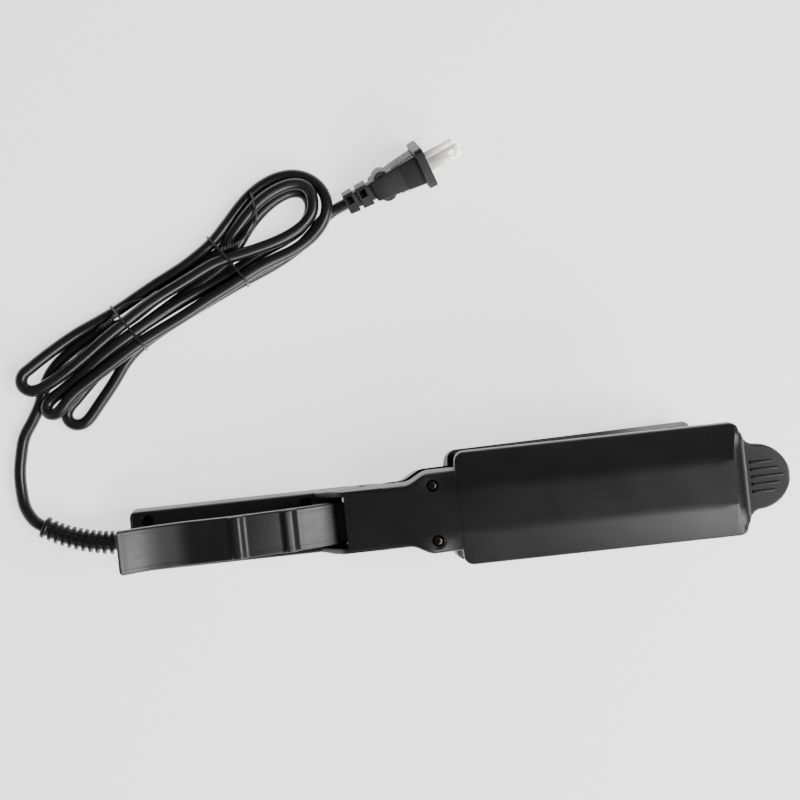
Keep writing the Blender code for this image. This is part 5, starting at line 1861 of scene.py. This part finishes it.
def hull(points: Sequence[Flat]) -> list[Flat]:
    """The convex outline of points in a plane, in order."""
    found = sorted(set(points))

    def half(run: Iterable[Flat]) -> list[Flat]:
        """One side of the outline."""
        kept: list[Flat] = []
        for p in run:
            while len(kept) > 1:
                (x0, z0), (x1, z1) = kept[-2:]
                if (x1 - x0) * (p[1] - z0) - (z1 - z0) * (p[0] - x0) > 0:
                    break
                kept.pop()
            kept.append(p)
        return kept[:-1]

    return half(found) + half(found[::-1])


# ---------------------------------------------------------------- plug


@dataclass
class Plug:
    """Moulded two-blade plug with a segmented sleeve, grip ribs and a wide flange."""

    start: Point = (117.2, 147.3, 6.2)
    yaw: float = math.radians(21.2)
    pitch: float = math.radians(11.0)
    roll: float = math.radians(21.0)
    length: float = 43.0 * MM
    blade: Point = (16.6 * MM, 6.35 * MM, 1.5 * MM)
    spread: float = 6.35 * MM
    hole: Flat = (12.2 * MM, 1.6 * MM)
    # place, half width, half height over the blades, corner ease, in mm
    body: tuple[tuple[float, float, float, float], ...] = (
        (0.0, 4.4, 3.8, 0.9),
        (0.4, 4.9, 4.3, 1.0),
        (4.9, 5.1, 4.8, 1.0),
        (5.2, 4.9, 4.6, 0.9),
        (5.25, 3.8, 3.3, 0.9),
        (6.85, 3.8, 3.3, 0.9),
        (6.9, 4.9, 4.7, 1.0),
        (7.2, 5.1, 5.0, 1.0),
        (12.2, 5.3, 5.4, 1.0),
        (12.5, 5.1, 5.2, 1.0),
        (12.55, 4.0, 3.7, 1.0),
        (14.3, 4.0, 3.7, 1.0),
        (14.4, 4.7, 5.4, 1.0),
        (14.8, 5.0, 6.2, 1.0),
        (16.4, 5.2, 6.8, 1.0),
        (22.0, 5.7, 7.1, 1.0),
        (29.8, 6.4, 7.6, 1.0),
        (30.1, 6.5, 8.0, 1.0),
        (38.3, 7.2, 9.3, 1.2),
        (38.6, 9.0, 11.3, 2.0),
        (39.0, 9.7, 12.0, 2.4),
        (42.5, 9.8, 12.1, 2.4),
        (43.0, 9.4, 11.7, 2.3),
    )

    def matrix(self, origin: Vector) -> Matrix:
        """Places the plug's own frame on the table."""
        x, y, z = self.start
        turn = (
            Matrix.Rotation(self.yaw, 4, "Z")
            @ Matrix.Rotation(-self.pitch, 4, "Y")
            @ Matrix.Rotation(self.roll, 4, "X")
        )
        return Matrix.Translation((origin.x + x * MM, y * MM, z * MM)) @ turn

    def build(self, origin: Vector, fin: Finishes) -> list[bpy.types.Object]:
        """The body with its grips and slots, and the two blades.

        Args:
            origin: where the cord's plan starts, in the model.
            fin: the finishes.

        Returns:
            The pieces.
        """
        at = self.matrix(origin)
        rows = []
        for x, w, h, c in self.body:
            loop = eased([(w, h), (-w, h), (-w, -h), (w, -h)], [c] * 4, 4)
            rows.append([(x * MM, y * MM, z * MM) for y, z in loop])
        body = loft("plug", rows)
        slots = []
        for low, high in ((1.2, 4.2), (8.0, 11.2)):
            for up in (1, -1):
                y = sorted((-up * 0.2, up * 3.9))
                z = sorted((up * 1.0, up * 9.0))
                ends = [(x * MM, y[k] * MM, z[k] * MM) for k, x in enumerate((low, high))]
                slots.append(box("slot", *ends))
        keep = [turned("web", (0, 0, 0), (1, 0, 0), [(0, 2.2 * MM), (14 * MM, 2.2 * MM)], 32)]
        for side in (1, -1):
            edge = [(0, 3.7 * MM), (0.4 * MM, 4.2 * MM), (1.0 * MM, 4.4 * MM)]
            edge += [(11.6 * MM - along, radius) for along, radius in reversed(edge)]
            keep.append(turned("lobe", (20.4 * MM, side * 3.2 * MM, -5.8 * MM), (0, 0, 1), edge, 40))
        body = combined(combined(body, "DIFFERENCE", slots), "UNION", keep)
        grips = []
        for side in (1, -1):
            corners = [(-0.4, -0.8), (-0.26, 0.62), (0.26, 0.62), (0.4, -0.8)]
            corners = [(y * MM, z * MM) for y, z in corners]
            loop = eased(corners, [0, 0.2 * MM, 0.2 * MM, 0], 3)
            rib = loft("grip", [[(x, y, z) for y, z in loop] for x in (-0.5, 0.5)])
            row = rib_tree().run(
                "grips",
                points_mesh([(0, 0, 0)]),
                Rib=rib,
                Count=10,
                Pitch=1.24 * MM,
                Longest=12.5 * MM,
                Shorter_By=0.0,
                Finish=fin.plug,
            )
            lean = math.atan2(0.8, 8.5)
            row.transform(
                Matrix.Translation((32.4 * MM, side * 6.72 * MM, 0))
                @ Matrix.Rotation(side * lean, 4, "Z")
                @ Matrix.Rotation(-side * math.pi / 2, 4, "X")
                @ Matrix.Rotation(math.pi / 2, 4, "Z")
            )
            grips.append(row)
        whole = fused("plug", [body, *grips])
        made = [piece("moulded_plug", whole, fin.plug, HANDLE, at, ["plug_body"])]
        length, width, thick = self.blade
        for i, side in enumerate((1, -1)):
            tip = 1.8 * MM
            base, end = self.length - 1.0 * MM, self.length + length
            outline = [(base, -width / 2), (end, -width / 2), (end, width / 2), (base, width / 2)]
            outline = eased(outline, [0, tip, tip, 0], 5)
            faces = [side * self.spread + z for z in (-thick / 2, thick / 2)]
            mesh = loft("blade", [[(x, y, z) for x, y in outline] for z in faces])
            bm = bmesh.new()
            bm.from_mesh(mesh)
            rim = [e for e in bm.edges if abs(e.verts[0].co.z - e.verts[1].co.z) < 1e-7]
            bmesh.ops.bevel(bm, geom=rim, offset=0.22 * MM, segments=2, profile=0.5, affect="EDGES")
            bm.to_mesh(mesh)
            bm.free()
            place, radius = self.hole
            under = (self.length + place, 0, side * self.spread - thick)
            drill = turned("hole", under, (0, 0, 1), [(0, radius), (2 * thick, radius)], 32)
            mesh = combined(mesh, "DIFFERENCE", [drill])
            name, node = f"nickel_blade_{i + 1}", f"plug_blade_{i + 1}"
            made.append(piece(name, mesh, fin.nickel, HANDLE, at, [node]))
        return made


# ---------------------------------------------------------------- inside, and the studio


class InsideWork:
    """The heaters, carriers, wires, pin and spring that the model already shapes."""

    @staticmethod
    def dress(fin: Finishes) -> None:
        """Gives each of them its material."""
        slots = {
            "carrier": fin.heatproof,
            "heater_clip": fin.steel,
            "heater": fin.mica,
            "thermostat": fin.nickel,
            "fuse": fin.nickel,
            "pin": fin.steel,
            "spring": fin.steel,
            "clamp_screw": fin.oxide,
            "cord_clamp": fin.heatproof,
            "cord_stub": fin.pvc,
            "connector": fin.cap,
            "lead_live": fin.red,
            "core_1": fin.red,
            "lead_1": fin.red,
            "lead_neutral": fin.white,
            "core_2": fin.white,
            "lead_2": fin.white,
        }
        for name, node in frame["nodes"].items():
            finish = next((made for key, made in slots.items() if key in name), None)
            if finish is None:
                continue
            node.data.materials.clear()
            node.data.materials.append(finish)
            log.info("%s: dressed in %s", name, finish.name)


@dataclass
class Studio:
    """A pale table, soft lamps and the camera."""

    eye: Point = (21.4 * MM, 51.3 * MM, 495.0 * MM)  # from the pivot, in the tool's frame
    lean: float = 0.108  # how far the camera is turned about its line of sight
    floor_tone: float = 0.93
    floor_glow: float = 1.4
    lamps: tuple[tuple[str, Point, Point, float, float], ...] = field(
        default=(
            ("near_side", (0.75, -1.1, 0.9), (0.08, 0.0, 0.02), 0.9, 22.0),
            ("far_side", (0.5, 1.8, 0.6), (0.0, 0.05, 0.0), 0.9, 2.0),
            ("heel_side", (-1.7, -0.3, 0.7), (-0.05, 0.05, 0.0), 0.8, 2.0),
            ("tip_side", (1.0, -0.15, 1.35), (0.0, 0.0, 0.0), 0.8, 22.0),
        )
    )

    def build(self, at: Matrix) -> None:
        """Floor, lamps, surrounding light and camera.

        Args:
            at: the handle's matrix.
        """
        mesh = bpy.data.meshes.new("table_top")
        r = 4.0
        mesh.from_pydata([(-r, -r, 0), (r, -r, 0), (r, r, 0), (-r, r, 0)], [], [(0, 1, 2, 3)])
        floor = bpy.data.objects.new("table_top", mesh)
        bpy.context.scene.collection.objects.link(floor)
        g = Graph("table_paint")
        t = self.floor_tone
        g.shades(g.noise(0.6, 2), (t, t, t), (t + 0.02, t + 0.02, t + 0.02))
        g.set(Roughness=0.9)
        g.set(Emission_Color=(1, 1, 1, 1), Emission_Strength=self.floor_glow)
        mesh.materials.append(g.material)
        world = bpy.data.worlds.new("room")
        world.use_nodes = True
        sky = world.node_tree.nodes["Background"]
        sky.inputs["Color"].default_value = (1, 1, 1, 1)
        sky.inputs["Strength"].default_value = 0.12
        bpy.context.scene.world = world
        for name, place, aim, size, power in self.lamps:
            lamp = bpy.data.lights.new(name, "AREA")
            lamp.shape, lamp.size, lamp.energy = "DISK", size, power
            holder = bpy.data.objects.new(name, lamp)
            holder.location = place
            holder.rotation_euler = (Vector(aim) - Vector(place)).to_track_quat("-Z", "Y").to_euler()
            bpy.context.scene.collection.objects.link(holder)
        lens = bpy.data.cameras.new("camera")
        lens.lens, lens.sensor_width = 49.4, 36.0
        lens.clip_start = 0.01
        view = bpy.data.objects.new("camera", lens)
        side = Vector((math.cos(math.asin(self.lean)), -self.lean, 0))
        turn = Matrix((side, Vector((0, 0, 1)).cross(side), Vector((0, 0, 1)))).transposed().to_4x4()
        view.matrix_world = Matrix.Translation(at @ Vector(self.eye)) @ at.to_3x3().to_4x4() @ turn
        bpy.context.scene.collection.objects.link(view)
        bpy.context.scene.camera = view


def main() -> None:
    """Builds every sub-assembly in order."""
    logging.basicConfig(level=logging.INFO, format="%(message)s", stream=sys.stdout)
    handle_at = placed("handle_underside")
    jaw_at = placed("lower_jaw_roof")
    Studio().build(handle_at)
    fin = Finishes()
    handle = Handle()
    relief = StrainRelief(handle.end)
    line, origin = relief.centre_line(handle_at)
    plug = Plug()
    far = plug.build(origin, fin)
    MainsCord().build(line, origin, plug.matrix(origin), fin, far)
    relief.build(fin, handle_at)
    upper = JawShell(Side.UPPER, handle.cover_edge)
    handle.build_upper(upper, fin, handle_at)
    handle.build_lower(fin, handle_at)
    LowerJaw().build(fin, jaw_at)
    Lever().build(fin, jaw_at)
    plates = CrimpPlates()
    plates.build(Side.UPPER, fin, handle_at)
    plates.build(Side.LOWER, fin, jaw_at)
    screws = Screws()
    arm = [(x, y, upper.seat) for x, y in upper.screw_places()]
    screws.build(
        "arm_screws", arm, 6.0 * MM, 3, fin, HANDLE, handle_at, ["upper_arm_screw_1", "upper_arm_screw_2"]
    )
    backs = [(x, y, handle.seat) for x, y in handle.screw_places()]
    names = [f"handle_screw_{i}" for i in (1, 2, 3, 4)]
    screws.build("handle_screws", backs, 5.6 * MM, 7, fin, HANDLE, handle_at, names)
    below = jaw_at @ Matrix.Rotation(math.pi, 4, "X")
    screws.build(
        "lower_arm_screws", arm, 6.0 * MM, 11, fin, JAW, below, ["lower_arm_screw_1", "lower_arm_screw_2"]
    )
    InsideWork.dress(fin)


if __name__ == "__main__":
    main()
